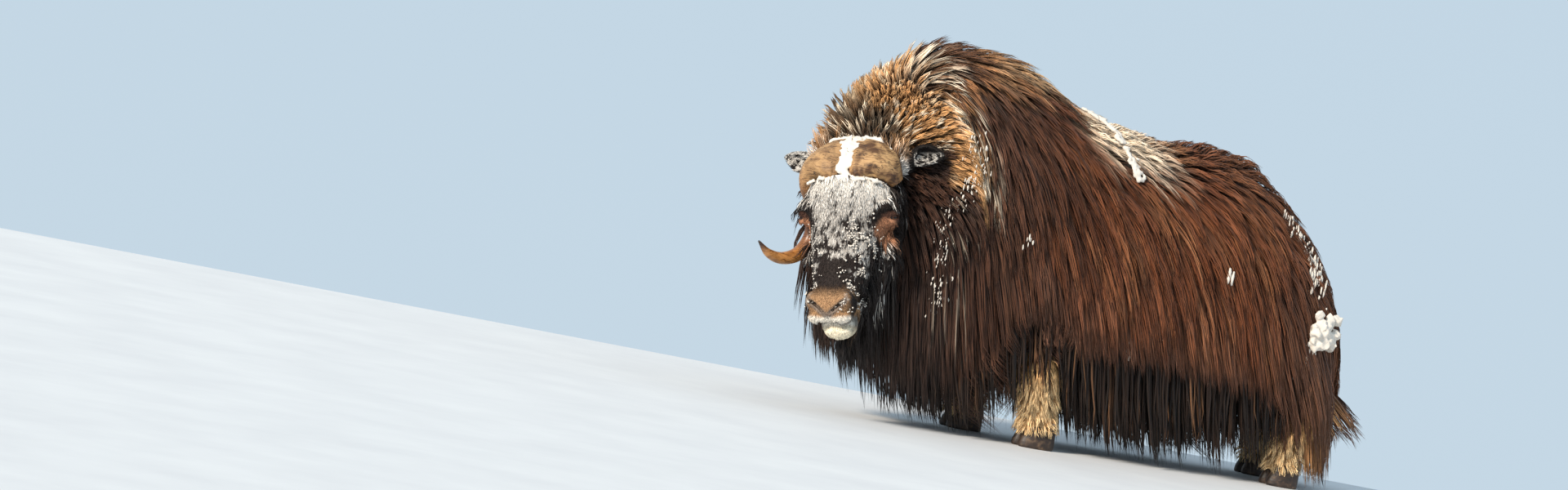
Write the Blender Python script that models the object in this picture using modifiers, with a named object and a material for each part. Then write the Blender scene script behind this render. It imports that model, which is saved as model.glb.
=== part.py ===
"""A muskox bull, life size, standing with the head turned to its left.

The frame: metres, +Z up, the floor at z = 0. The nose end is towards -X and the animal's left
side towards -Y. The left horn is broken off at the boss. Flesh is modelled whole, as closed forms
that are melted together, and parted with thin cuts. The long coat is a core with tapered locks.
"""

import math
import random

import bpy
import bmesh
from mathutils import Matrix, Vector
from mathutils.bvhtree import BVHTree

# Driving dimensions, in metres.
GAP = 0.0003            # clearance between touching pieces
FOOTPRINT = Vector((-0.365, -0.024, 0.0))    # middle of the footprint, which becomes the origin
COAT_TOP = 0.036        # how deep the locks lie on the back
COAT_SIDE = 0.046       # and on the flanks
COAT_HANG = 0.42        # share of the hanging coat that the core fills, from the belly to the tips
FOOT_SPREAD = 0.17      # from the middle plane to each foot
FORE_LEFT_X = -0.48
FORE_RIGHT_X = -0.575
HIND_LEFT_X = 0.47
HIND_RIGHT_X = 0.56
LEG_TOP = 0.40          # the level where the legs leave the coat's core
HOOF_TOP = 0.066
MUZZLE_HALF_WIDTH = 0.083
EYE_RADIUS = 0.019
HEAD_AT = Vector((-1.268, -0.128, 0.667))
HEAD_TURN = 45.0        # degrees from the body's line towards its left
HEAD_LEAN = 11.0        # degrees, left ear raised

SEED = 7


def clear_scene():
    for obj in list(bpy.data.objects):
        bpy.data.objects.remove(obj)
    for name in ("Muskox", "Cutters"):
        collection = bpy.data.collections.new(name)
        bpy.context.scene.collection.children.link(collection)
    bpy.data.collections["Cutters"].hide_render = True


def material(name, colour, roughness):
    """A Principled BSDF material of one colour, given as linear red, green and blue."""
    made = bpy.data.materials.new(name)
    made.use_nodes = True
    shader = made.node_tree.nodes["Principled BSDF"]
    shader.inputs["Base Color"].default_value = (*colour, 1.0)
    shader.inputs["Roughness"].default_value = roughness
    shader.inputs["Metallic"].default_value = 0.0
    made.diffuse_color = (*colour, 1.0)
    return made


def new_object(name, mesh, collection="Muskox"):
    obj = bpy.data.objects.new(name, mesh)
    bpy.data.collections[collection].objects.link(obj)
    if collection == "Cutters":
        obj.display_type = "WIRE"
    return obj


def keep_as_part(obj):
    """Moves an object made among the cutters to the animal's own collection."""
    bpy.data.collections["Cutters"].objects.unlink(obj)
    bpy.data.collections["Muskox"].objects.link(obj)
    obj.display_type = "TEXTURED"
    return obj


def mesh_from(bm, name):
    bmesh.ops.triangulate(bm, faces=bm.faces)
    bmesh.ops.recalc_face_normals(bm, faces=bm.faces)
    mesh = bpy.data.meshes.new(name)
    bm.to_mesh(mesh)
    bm.free()
    return mesh


def baked(obj):
    """The object's mesh with its modifiers applied, in world space."""
    graph = bpy.context.evaluated_depsgraph_get()
    mesh = bpy.data.meshes.new_from_object(obj.evaluated_get(graph))
    mesh.transform(obj.matrix_world)
    return mesh


def settle(obj):
    """Applies the object's modifiers and its matrix."""
    bpy.context.view_layer.update()
    mesh = baked(obj)
    obj.modifiers.clear()
    obj.data = mesh
    obj.matrix_world = Matrix.Identity(4)
    return obj


# Closed forms.
def oval(centre, across, upward, half_width, half_height, sides):
    """One oval section, from its middle, two directions and two half sizes."""
    points = []
    for i in range(sides):
        turn = 2 * math.pi * i / sides
        points.append(
            centre
            + across * (half_width * math.cos(turn))
            + upward * (half_height * math.sin(turn))
        )
    return points


def loft(name, sections, collection="Cutters"):
    """A closed form through sections, which are lists of as many points each."""
    bm = bmesh.new()
    rings = [[bm.verts.new(p) for p in section] for section in sections]
    sides = len(rings[0])
    for near, far in zip(rings, rings[1:]):
        for i in range(sides):
            j = (i + 1) % sides
            bm.faces.new((near[i], near[j], far[j], far[i]))
    for ring in (rings[0], rings[-1]):
        bm.faces.new(ring)
    return new_object(name, mesh_from(bm, name), collection)


def ball(name, centre, radii, basis=None, segments=16, rings=10):
    """An ellipsoid whose three radii lie along the columns of basis."""
    bm = bmesh.new()
    bmesh.ops.create_uvsphere(bm, u_segments=segments, v_segments=rings, radius=1.0)
    turn = (basis or Matrix.Identity(3)).to_4x4()
    place = Matrix.Translation(centre) @ turn @ Matrix.Diagonal((*radii, 1.0))
    bmesh.ops.transform(bm, matrix=place, verts=bm.verts)
    return new_object(name, mesh_from(bm, name), "Cutters")


def limb(name, stops, sides=12):
    """A tapered limb through (point, half width, half length) stops, from the top down."""
    sections = []
    for point, half_width, half_length in stops:
        sections.append(
            oval(Vector(point), Vector((1, 0, 0)), Vector((0, 1, 0)), half_length, half_width, sides)
        )
    return loft(name, sections)


# Joining and cutting.
def drop(objects):
    for obj in objects:
        bpy.data.objects.remove(obj)


def keep_largest(obj):
    """Deletes every loose surface of the mesh but the one with the most faces."""
    bm = bmesh.new()
    bm.from_mesh(obj.data)
    left = set(bm.faces)
    islands = []
    while left:
        front = [left.pop()]
        island = set(front)
        while front:
            face = front.pop()
            for edge in face.edges:
                for other in edge.link_faces:
                    if other in left:
                        left.remove(other)
                        island.add(other)
                        front.append(other)
        islands.append(island)
    islands.sort(key=len, reverse=True)
    for island in islands[1:]:
        bmesh.ops.delete(bm, geom=list(island), context="FACES")
    bm.to_mesh(obj.data)
    bm.free()
    return obj


def melt(name, forms, voxel, smoothing, triangles, collection="Muskox"):
    """Melts closed forms into one soft body of about that many triangles."""
    bm = bmesh.new()
    bpy.context.view_layer.update()
    for form in forms:
        bm.from_mesh(baked(form))
    drop(forms)
    mesh = bpy.data.meshes.new(name)
    bm.to_mesh(mesh)
    bm.free()
    obj = new_object(name, mesh, collection)
    remesh = obj.modifiers.new("Remesh", "REMESH")
    remesh.mode = "VOXEL"
    remesh.voxel_size = voxel
    smooth = obj.modifiers.new("Smooth", "SMOOTH")
    smooth.factor = 0.5
    smooth.iterations = smoothing
    settle(obj)
    decimate = obj.modifiers.new("Decimate", "DECIMATE")
    decimate.ratio = min(1.0, triangles / (2 * len(obj.data.polygons)))
    decimate.use_collapse_triangulate = True
    return keep_largest(settle(obj))


def boolean(obj, other, operation, solver="EXACT"):
    """Joins or cuts obj with another object, or with a collection of them."""
    modifier = obj.modifiers.new(operation.title(), "BOOLEAN")
    modifier.operation = operation
    modifier.solver = solver
    if isinstance(other, bpy.types.Collection):
        modifier.operand_type = "COLLECTION"
        modifier.collection = other
    else:
        modifier.object = other
    return keep_largest(settle(obj))


def grown(obj, margin):
    """A copy of obj that is larger by margin all round, as a cutter."""
    bm = bmesh.new()
    bm.from_mesh(obj.data)
    bm.normal_update()
    moved = [(v, v.co + v.normal * (margin * min(3.0, v.calc_shell_factor()))) for v in bm.verts]
    for vert, place in moved:
        vert.co = place
    mesh = bpy.data.meshes.new("grown")
    bm.to_mesh(mesh)
    bm.free()
    return new_object("grown", mesh, "Cutters")


def cut_clear(obj, neighbour):
    """Cuts obj back from a neighbour that sits in it, leaving the gap."""
    cutter = grown(neighbour, 1.6 * GAP)
    boolean(obj, cutter, "DIFFERENCE", "MANIFOLD")
    drop([cutter])
    return obj


def block(point, normal, size=4.0, depth=2.0):
    """A block that fills the side of a plane that normal points to."""
    bm = bmesh.new()
    bmesh.ops.create_cube(bm, size=1.0)
    turn = Vector(normal).to_track_quat("Z", "Y").to_matrix().to_4x4()
    place = (
        Matrix.Translation(point)
        @ turn
        @ Matrix.Translation((0, 0, depth / 2))
        @ Matrix.Diagonal((size, size, depth, 1.0))
    )
    bmesh.ops.transform(bm, matrix=place, verts=bm.verts)
    return new_object("block", mesh_from(bm, "block"), "Cutters")


def trim(obj, point, normal):
    """Cuts away the side of a plane that normal points to."""
    cutter = block(point, normal)
    boolean(obj, cutter, "DIFFERENCE", "MANIFOLD")
    drop([cutter])
    return obj


# The head's own frame: forward, left and up, turned and leaned as in the pose.
def head_frame():
    turn = math.radians(HEAD_TURN)
    lean = math.radians(HEAD_LEAN)
    forward = Vector((-math.cos(turn), -math.sin(turn), 0.0))
    left = Vector((math.sin(turn), -math.cos(turn), 0.0))
    up = Vector((0, 0, 1))
    leaned_left = left * math.cos(lean) + up * math.sin(lean)
    leaned_up = up * math.cos(lean) - left * math.sin(lean)
    return Matrix((forward, leaned_left, leaned_up)).transposed()


HEAD_BASIS = head_frame()


def in_head(forward, left, up):
    """A point of the head, from its place ahead of, left of and above the skull's middle."""
    return HEAD_AT + HEAD_BASIS @ Vector((forward, left, up))


def head_way(forward, left, up):
    return (HEAD_BASIS @ Vector((forward, left, up))).normalized()


# Planes where the coat parts: neck from trunk, and head from neck.
SHOULDER_POINT = Vector((-0.86, 0.0, 0.60))
SHOULDER_NORMAL = Vector((-1.0, 0.0, -0.12)).normalized()
NAPE_POINT = in_head(-0.130, 0.0, 0.0)
NAPE_NORMAL = Vector((HEAD_BASIS.col[0].x, HEAD_BASIS.col[0].y, 0.0)).normalized()


def coat_section(centre, across, top, low, half_width, sides=24):
    """A section that is round above and slab-sided below, like a hanging coat."""
    middle = low + (top - low) * 0.56
    points = []
    for i in range(sides):
        turn = 2 * math.pi * i / sides
        c, s = math.cos(turn), math.sin(turn)
        power = 0.90 if s > 0 else 0.62
        side = math.copysign(abs(c) ** power, c) * half_width
        rise = (top - middle) * s if s > 0 else -(middle - low) * abs(s) ** 0.85
        points.append(Vector((centre.x, centre.y, middle + rise)) + across * side)
    return points


# Along the trunk: x, top, lowest hair, belly, half width.
TRUNK_STATIONS = (
    (-1.08, 1.120, 0.30, 0.46, 0.190),
    (-1.00, 1.230, 0.16, 0.42, 0.265),
    (-0.88, 1.280, 0.09, 0.40, 0.315),
    (-0.74, 1.266, 0.24, 0.38, 0.335),
    (-0.62, 1.206, 0.31, 0.37, 0.345),
    (-0.50, 1.142, 0.20, 0.37, 0.350),
    (-0.36, 1.110, 0.10, 0.36, 0.355),
    (-0.15, 1.080, 0.09, 0.36, 0.360),
    (0.06, 1.100, 0.10, 0.36, 0.360),
    (0.17, 1.078, 0.11, 0.37, 0.355),
    (0.28, 1.004, 0.15, 0.38, 0.345),
    (0.40, 0.915, 0.24, 0.38, 0.330),
    (0.50, 0.815, 0.24, 0.38, 0.305),
    (0.58, 0.695, 0.20, 0.36, 0.270),
    (0.64, 0.560, 0.10, 0.34, 0.225),
    (0.69, 0.420, 0.05, 0.33, 0.170),
    (0.73, 0.290, 0.06, 0.32, 0.100),
)


def trunk_forms():
    """The trunk with its coat, from the shoulders to the rump."""
    sections = []
    for x, top, low, belly, half_width in TRUNK_STATIONS:
        bottom = belly + (low - belly) * COAT_HANG
        sections.append(
            coat_section(
                Vector((x, 0, 0)),
                Vector((0, 1, 0)),
                max(top - COAT_TOP, bottom + 0.05),
                bottom,
                half_width - COAT_SIDE,
            )
        )
    return [loft("trunk", sections)]


# Along the neck: place, top, lowest hair, throat, half width.
NECK_STATIONS = (
    (Vector((-0.82, 0.000, 0)), 1.265, 0.20, 0.42, 0.300),
    (Vector((-0.94, 0.000, 0)), 1.280, 0.09, 0.42, 0.305),
    (Vector((-1.03, 0.000, 0)), 1.270, 0.08, 0.42, 0.300),
    (Vector((-1.10, -0.015, 0)), 1.200, 0.11, 0.42, 0.290),
    (Vector((-1.16, -0.045, 0)), 1.110, 0.15, 0.42, 0.265),
    (Vector((-1.21, -0.085, 0)), 1.020, 0.20, 0.44, 0.235),
    (Vector((-1.26, -0.135, 0)), 0.940, 0.27, 0.48, 0.190),
)


def neck_forms():
    """The neck with its mane, from the shoulders to the nape."""
    sections = []
    last = len(NECK_STATIONS) - 1
    for i, (point, top, low, throat, half_width) in enumerate(NECK_STATIONS):
        ahead = NECK_STATIONS[min(i + 1, last)][0] - NECK_STATIONS[max(i - 1, 0)][0]
        across = ahead.normalized().cross(Vector((0, 0, 1)))
        sections.append(
            coat_section(
                point,
                across,
                top - COAT_TOP,
                throat + (low - throat) * COAT_HANG,
                half_width - COAT_SIDE,
            )
        )
    return [loft("neck", sections)]


LEGS = {
    "foreleg_left": (FORE_LEFT_X, -FOOT_SPREAD, "fore"),
    "foreleg_right": (FORE_RIGHT_X, FOOT_SPREAD + 0.01, "fore"),
    "hindleg_left": (HIND_LEFT_X, -FOOT_SPREAD, "hind"),
    "hindleg_right": (HIND_RIGHT_X, FOOT_SPREAD - 0.01, "hind"),
}
# Height, place ahead of the hoof, half width and half length, from the elbow or stifle down.
FORE_PROFILE = [
    (0.48, -0.070, 0.068, 0.088),
    (0.38, -0.050, 0.062, 0.072),
    (0.29, -0.030, 0.058, 0.064),
    (0.20, -0.018, 0.050, 0.054),
    (0.12, -0.006, 0.052, 0.057),
    (0.05, 0.000, 0.055, 0.064),
]
HIND_PROFILE = [
    (0.47, 0.010, 0.066, 0.092),
    (0.40, 0.045, 0.058, 0.076),
    (0.32, 0.058, 0.052, 0.064),
    (0.22, 0.030, 0.047, 0.052),
    (0.13, 0.008, 0.049, 0.053),
    (0.05, 0.000, 0.053, 0.060),
]


def leg_forms(name):
    x, y, kind = LEGS[name]
    profile = FORE_PROFILE if kind == "fore" else HIND_PROFILE
    stops = [((x + ahead, y, z), half_width, half_length) for z, ahead, half_width, half_length in profile]
    return [limb(name, stops)]


def body_cores():
    """Trunk, neck and legs melted as one, then parted by planes into their nodes."""
    forms = trunk_forms() + neck_forms()
    whole = melt("whole", forms, 0.024, 3, 1300)
    cores = {"torso": whole}
    whole.name = "torso"
    neck = new_object("neck", whole.data.copy())
    trim(neck, SHOULDER_POINT, -SHOULDER_NORMAL)
    trim(neck, NAPE_POINT - NAPE_NORMAL * GAP, NAPE_NORMAL)
    trim(whole, SHOULDER_POINT - SHOULDER_NORMAL * GAP, SHOULDER_NORMAL)
    cores["neck"] = neck
    for name in LEGS:
        leg = melt(name, leg_forms(name), 0.010, 4, 170)
        trim(leg, Vector((0, 0, HOOF_TOP)), Vector((0, 0, -1)))
        cores[name] = leg
    return cores


# Hooves: two toes to each foot, flat on the floor.
def hoof(name, x, y, kind):
    """A broad cloven hoof: two rounded toes that meet behind the cleft."""
    length = 0.066 if kind == "fore" else 0.060
    toes = []
    for side in (-1, 1):
        sections = []
        for z, share, ahead in ((-0.02, 1.0, 0.0), (0.012, 1.0, 0.0), (0.035, 0.93, 0.004), (0.085, 0.74, 0.016)):
            centre = Vector((x + ahead - 0.006, y + side * 0.0300, z))
            sections.append(
                oval(centre, Vector((1, 0.10 * side, 0)), Vector((0, 1, 0)), length * share, 0.0315 * share, 9)
            )
        toes.append(loft("toe", sections))
    first, second = toes
    boolean(first, second, "UNION")
    drop([second])
    first.name = name
    keep_as_part(first)
    trim(first, Vector((0, 0, 0)), Vector((0, 0, -1)))
    trim(first, Vector((0, 0, HOOF_TOP - GAP)), Vector((0, 0, 1)))
    return first


# The horns: each a broad boss plate that narrows, drops beside the face and curls up.
# Place ahead, to the side and up, then the broad half size and the half thickness.
HORN_STOPS = [
    ((0.034, 0.012, 0.163), 0.092, 0.043),
    ((0.034, 0.036, 0.168), 0.100, 0.048),
    ((0.031, 0.078, 0.166), 0.096, 0.048),
    ((0.025, 0.120, 0.143), 0.077, 0.044),
    ((0.012, 0.155, 0.098), 0.056, 0.037),
    ((-0.003, 0.178, 0.036), 0.042, 0.031),
    ((-0.011, 0.190, -0.035), 0.035, 0.028),
    ((-0.002, 0.199, -0.100), 0.030, 0.026),
    ((0.034, 0.211, -0.144), 0.025, 0.023),
    ((0.082, 0.232, -0.154), 0.020, 0.019),
    ((0.128, 0.254, -0.134), 0.013, 0.013),
    ((0.158, 0.268, -0.098), 0.005, 0.005),
]
BOSS_STOPS = 5          # the broken horn keeps only these stops
BOSS_PARTING = 0.007    # half the groove between the two bosses


def horn(name, side, broken):
    """One horn as a loft. Its broad way turns from up and back over the brow to fore and aft."""
    stops = HORN_STOPS[:BOSS_STOPS] if broken else HORN_STOPS
    sections = []
    for i, ((ahead, aside, up), broad, thick) in enumerate(stops):
        place = Vector((ahead, side * aside, up))
        before = Vector(stops[max(i - 1, 0)][0])
        after = Vector(stops[min(i + 1, len(stops) - 1)][0])
        along = after - before
        along.y *= side
        along.normalize()
        turn = min(1.0, i / BOSS_STOPS)
        wide = Vector((-0.72 - 0.28 * turn, 0.0, 0.72 * (1 - turn)))
        wide = (wide - along * wide.dot(along)).normalized()
        deep = along.cross(wide).normalized()
        if broken and i == len(stops) - 1:
            broad, thick = broad * 0.72, thick * 0.66
        points = oval(place, wide, deep, broad, thick, 11)
        sections.append([HEAD_AT + HEAD_BASIS @ p for p in points])
    made = loft(name, sections, "Muskox")
    return trim(made, in_head(0.0, side * BOSS_PARTING, 0.0), head_way(0, -side, 0))


def eye(name, side):
    ahead, aside, up = EYE_PLACE
    made = ball(name, in_head(ahead, side * aside, up), (EYE_RADIUS,) * 3, HEAD_BASIS, 12, 6)
    return keep_as_part(made)


EYE_PLACE = (0.055, 0.149, -0.020)


def ear(name, side, cupped=True):
    """A pointed ear: a leaf-shaped form, with its cup cut out of the front."""
    root = in_head(-0.092, side * 0.150, 0.168)
    along = head_way(-0.10, side * 0.97, 0.12)
    facing = head_way(0.90, side * 0.10, -0.12)
    facing = (facing - along * facing.dot(along)).normalized()
    upward = facing.cross(along).normalized()
    length = 0.140
    profile = ((0.0, 0.020), (0.18, 0.027), (0.42, 0.034), (0.68, 0.029), (0.88, 0.016), (1.0, 0.005))
    sections = []
    for share, half in profile:
        centre = root + along * (length * share) + upward * (0.012 * math.sin(share * math.pi))
        sections.append(oval(centre, upward, facing, half, half * 0.62, 9))
    made = loft(name, sections, "Muskox" if cupped else "Cutters")
    if not cupped:
        return made
    cup = []
    for share, half in ((0.26, 0.008), (0.38, 0.021), (0.60, 0.022), (0.82, 0.012), (0.93, 0.004)):
        centre = root + along * (length * share) + upward * (0.012 * math.sin(share * math.pi))
        cup.append(oval(centre + facing * 0.014, upward, facing, half, half * 0.75 + 0.004, 8))
    hollow = loft("hollow", cup)
    boolean(made, hollow, "DIFFERENCE", "MANIFOLD")
    drop([hollow])
    return made


def head_forms():
    """The skull and face with short fur, as forms in the head's own frame."""
    def placed(name, place, radii, tilt=0.0):
        basis = HEAD_BASIS @ Matrix.Rotation(math.radians(tilt), 3, "Y")
        return ball(name, in_head(*place), radii, basis)

    nose_up = -0.305
    forms = [
        placed("cranium", (-0.015, 0, 0.065), (0.125, 0.155, 0.130)),
        placed("back", (-0.075, 0, -0.01), (0.09, 0.150, 0.16)),
        placed("poll", (-0.095, 0, 0.120), (0.070, 0.150, 0.090)),
        placed("muzzle", (0.205, 0, nose_up), (0.068, MUZZLE_HALF_WIDTH, 0.066), 15),
        placed("chin", (0.165, 0, -0.368), (0.062, 0.064, 0.046)),
    ]
    # The face from brow to nose: place ahead and up, half width, half depth.
    face = (
        (0.020, 0.080, 0.145, 0.110),
        (0.040, -0.005, 0.146, 0.118),
        (0.070, -0.090, 0.122, 0.115),
        (0.112, -0.175, 0.097, 0.095),
        (0.158, -0.245, 0.084, 0.078),
        (0.198, -0.300, 0.077, 0.064),
    )
    sections = []
    for ahead, up, half_width, half_depth in face:
        sections.append(
            oval(in_head(ahead, 0, up), head_way(0, 1, 0), head_way(0.87, 0, 0.36), half_width, half_depth, 16)
        )
    forms.append(loft("face", sections))
    # The lower jaw from the cheek to the chin.
    jaw = (
        (-0.055, -0.085, 0.130, 0.085),
        (-0.015, -0.170, 0.115, 0.080),
        (0.052, -0.255, 0.088, 0.068),
        (0.115, -0.325, 0.070, 0.057),
        (0.160, -0.362, 0.060, 0.047),
    )
    sections = []
    for ahead, up, half_width, half_depth in jaw:
        sections.append(
            oval(in_head(ahead, 0, up), head_way(0, 1, 0), head_way(0.75, 0, 0.60), half_width, half_depth, 16)
        )
    forms.append(loft("jaw", sections))
    for side in (-1, 1):
        forms.append(placed("ear_base", (-0.088, side * 0.128, 0.160), (0.050, 0.052, 0.052)))
        forms.append(placed("orbit", (0.048, side * 0.128, -0.016), (0.044, 0.038, 0.042)))
        forms.append(placed("cheek", (0.000, side * 0.095, -0.135), (0.070, 0.052, 0.085)))
        forms.append(placed("nose_wing", (0.232, side * 0.048, nose_up + 0.012), (0.036, 0.036, 0.036)))
    return forms


def slit(name, points, half_height, half_depth, facing):
    """A thin curved cutter along points, for the mouth line and the nostrils."""
    sections = []
    for i, point in enumerate(points):
        ahead = (points[min(i + 1, len(points) - 1)] - points[max(i - 1, 0)]).normalized()
        deep = (facing - ahead * facing.dot(ahead)).normalized()
        high = ahead.cross(deep).normalized()
        end = 0.45 if i in (0, len(points) - 1) else 1.0
        sections.append(oval(point, deep, high, half_depth, half_height * end, 6))
    return loft(name, sections)


def carve_face(head):
    """Cuts the line of the mouth and the two slanting nostrils."""
    mouth = []
    for step in range(-3, 4):
        aside = 0.066 * step / 3
        curve = abs(step) / 3
        mouth.append(in_head(0.250 - 0.080 * curve ** 2, aside, -0.366 + 0.010 * curve ** 2))
    cutters = [slit("mouth", mouth, 0.0035, 0.020, head_way(1, 0, 0))]
    for side in (-1, 1):
        nostril = []
        for step in range(4):
            share = step / 3
            nostril.append(
                in_head(0.270 - 0.026 * share ** 2, side * (0.014 + 0.050 * share), -0.328 + 0.042 * share)
            )
        cutters.append(slit("nostril", nostril, 0.0055, 0.018, head_way(1, 0, 0)))
    for cutter in cutters:
        boolean(head, cutter, "DIFFERENCE", "MANIFOLD")
    drop(cutters)


def lids(side):
    """Upper and lower lids: short curved rolls over the eyeball."""
    ahead, aside, up = EYE_PLACE
    centre = in_head(ahead, side * aside, up)
    outward = head_way(0.50, side * 0.86, 0.0)
    along = head_way(0.86, side * -0.50, -0.16)
    rolls = []
    for way in (1, -1):
        high = outward.cross(along).normalized() * way
        if high.dot(head_way(0, 0, 1)) * way < 0:
            high = -high
        sections = []
        for step in range(-2, 3):
            turn = math.radians(38 * step)
            lift = 0.55 * math.cos(turn)
            way_out = (outward * math.cos(turn) + along * math.sin(turn) + high * lift).normalized()
            point = centre + way_out * (EYE_RADIUS + 0.0015)
            ahead_way = (along * math.cos(turn) - outward * math.sin(turn)).normalized()
            wide = way_out.cross(ahead_way).normalized()
            sections.append(oval(point, wide, way_out, 0.0068, 0.0048, 5))
        rolls.append(loft("lid", sections))
    return rolls


def tail_form():
    """The short tail, a flattened taper that hangs from the root over the rump's cleft."""
    stops = (
        (Vector((0.495, 0, 0.770)), 0.034, 0.028),
        (Vector((0.550, 0, 0.705)), 0.038, 0.032),
        (Vector((0.595, 0, 0.630)), 0.036, 0.030),
        (Vector((0.635, 0, 0.560)), 0.024, 0.022),
        (Vector((0.655, 0, 0.500)), 0.007, 0.007),
    )
    sections = []
    for point, half_width, half_depth in stops:
        sections.append(oval(point, Vector((0, 1, 0)), Vector((0.75, 0, 0.66)), half_width, half_depth, 12))
    return loft("tail", sections, "Muskox")


# Locks: flat, tapered, ridged strands that lie along the coat.
LOCK_SHARES = (0.0, 0.36, 0.74)
LOCK_WIDTHS = (0.84, 1.0, 0.70)
LOCK_DEPTHS = (1.0, 0.95, 0.65)
LOCK_THICK = 0.019
FLOOR_CLEARANCE = 0.025
SHARPEST_BEND = 0.1     # cosine between a lock's lengths; a lock that would fold is left out
ROOT_DEPTH = 0.022      # how far a lock's root is sunk in the core
FALL_BACK = 0.16        # how far the coat leans towards the rump as it hangs
DOWN = Vector((0, 0, -1))
BACK = Vector((1, 0, 0))


def lock(path, outward, width, thickness):
    """One closed lock along path, whose first point is sunk in the core."""
    sections = []
    bm = bmesh.new()
    for i, (wide, deep) in enumerate(zip(LOCK_WIDTHS, LOCK_DEPTHS)):
        ahead = (path[i + 1] - path[max(i - 1, 0)]).normalized()
        out = (outward[i] - ahead * outward[i].dot(ahead)).normalized()
        across = ahead.cross(out).normalized()
        half = across * (width * wide / 2)
        sections.append(
            [
                bm.verts.new(path[i] - half),
                bm.verts.new(path[i] + half),
                bm.verts.new(path[i] + out * (thickness * deep)),
            ]
        )
    tip = bm.verts.new(path[-1])
    for near, far in zip(sections, sections[1:]):
        for a in range(3):
            b = (a + 1) % 3
            bm.faces.new((near[a], near[b], far[b], far[a]))
    last = sections[-1]
    for a in range(3):
        bm.faces.new((last[a], last[(a + 1) % 3], tip))
    bm.faces.new(sections[0])
    bmesh.ops.triangulate(bm, faces=bm.faces)
    return mesh_from(bm, "lock")


class Coat:
    """The locks of one node, grown from its core and kept clear of its neighbours."""

    def __init__(self, core, planes=(), keep_out=None):
        bpy.context.view_layer.update()
        self.core = core
        bm = bmesh.new()
        bm.from_mesh(core.data)
        self.tree = BVHTree.FromBMesh(bm)
        bm.free()
        self.planes = planes
        self.keep_out = keep_out
        self.meshes = []
        self.random = random.Random(SEED + len(core.name))

    def root(self, target, direction):
        """Where a ray from outside, going against direction to target, meets the core."""
        start = target + direction * 1.5
        place, normal, _, _ = self.tree.ray_cast(start, -direction)
        return (place, normal) if place else (None, None)

    def clear(self, point, margin, rooted=False):
        """Moves a point to its own side of the parting planes, and off what the coat keeps out of."""
        if self.keep_out and not rooted:
            point = self.keep_out(point, margin)
        for at, normal in self.planes:
            depth = (point - at).dot(normal) + margin
            if depth > 0:
                point = point - normal * depth
        return point

    def grow(self, target, direction, lie, length, width, fall=0.7, lift=0.030, sway=0.05, cling=0.8):
        """Grows a lock from the core's surface along lie, falling more and more."""
        place, normal = self.root(target, direction)
        if place is None:
            return
        down = Vector((FALL_BACK, 0, -1)).normalized()
        jitter = Vector([self.random.uniform(-sway, sway) for _ in range(3)])
        length *= self.random.uniform(0.90, 1.10)
        width *= self.random.uniform(0.88, 1.08)
        path = [self.clear(place - normal * ROOT_DEPTH, width * 0.5 + 0.002, rooted=True)]
        outward = [normal]
        point = place.copy()
        before = 0.0
        for share in (*LOCK_SHARES[1:], 1.0):
            pull = fall * min(1.0, share * 1.35)
            way = (lie.normalized() * (1 - pull) + down * pull + jitter).normalized()
            point = point + way * (length * (share - before))
            before = share
            offset = 0.008 + lift * share
            near, out, _, _ = self.tree.find_nearest(point)
            height = (point - near).dot(out)
            if height < offset:
                point = near + out * offset
            elif out.z > -0.35:
                point = point - out * ((height - offset) * cling)
            point = self.clear(point, width * 0.5 + self.random.uniform(0.002, 0.006))
            point.z = max(point.z, FLOOR_CLEARANCE)
            path.append(point.copy())
            turned = out if (point - near).length < 0.12 else outward[-1]
            outward.append((outward[-1] * 1.2 + turned).normalized())
        ways = [(far - near).normalized() for near, far in zip(path[1:], path[2:])]
        if min(a.dot(b) for a, b in zip(ways, ways[1:])) > SHARPEST_BEND:
            self.meshes.append(lock(path, outward, width, LOCK_THICK))

    def join(self):
        """Joins the locks to the core in one union of a collection of closed objects."""
        if not self.meshes:
            return self.core
        pieces = bpy.data.collections.new("pieces")
        bpy.context.scene.collection.children.link(pieces)
        for mesh in self.meshes:
            pieces.objects.link(bpy.data.objects.new("piece", mesh))
        boolean(self.core, pieces, "UNION", "MANIFOLD")
        drop(list(pieces.objects))
        bpy.data.collections.remove(pieces)
        return self.core


LOCK_WIDTH = 0.142
LOCK_SPACING = 0.140
REAR_CENTRE = 0.36      # the rump rounds off about here
# The lower edge of the outer coat along the body: x and height.
HEM = (
    (-0.86, 0.10),
    (-0.74, 0.24),
    (-0.66, 0.33),
    (-0.58, 0.31),
    (-0.53, 0.21),
    (-0.43, 0.28),
    (-0.24, 0.30),
    (0.02, 0.28),
    (0.18, 0.235),
    (0.34, 0.19),
    (0.43, 0.10),
    (0.55, 0.05),
    (0.80, 0.04),
)


def hem(x):
    """Height of the outer coat's edge at x."""
    for (x0, z0), (x1, z1) in zip(HEM, HEM[1:]):
        if x <= x1:
            share = min(1.0, max(0.0, (x - x0) / (x1 - x0)))
            return z0 + (z1 - z0) * share
    return HEM[-1][1]


def around_trunk(first, shift):
    """Points and outward ways round the trunk: along both flanks and round the rump."""
    stations = []
    x = first + shift * LOCK_SPACING
    while x < REAR_CENTRE:
        for side in (-1, 1):
            stations.append((Vector((x, 0, 0)), Vector((0, side, 0))))
        x += LOCK_SPACING
    turns = 5
    for i in range(turns + 1):
        turn = math.radians(-75 + 150 * (i + 0.5 * shift - 0.25) / turns)
        stations.append((Vector((REAR_CENTRE, 0, 0)), Vector((math.cos(turn), math.sin(turn), 0))))
    return stations


def clear_of_legs(point, margin):
    """Moves a point sideways until it is off the legs."""
    if point.z > LEG_TOP:
        return point
    for x, y, _ in LEGS.values():
        off = Vector((point.x - x - 0.01, point.y - y, 0))
        reach = 0.075 + margin
        if off.length < reach:
            point = point + off.normalized() * (reach - off.length)
    return point


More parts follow.
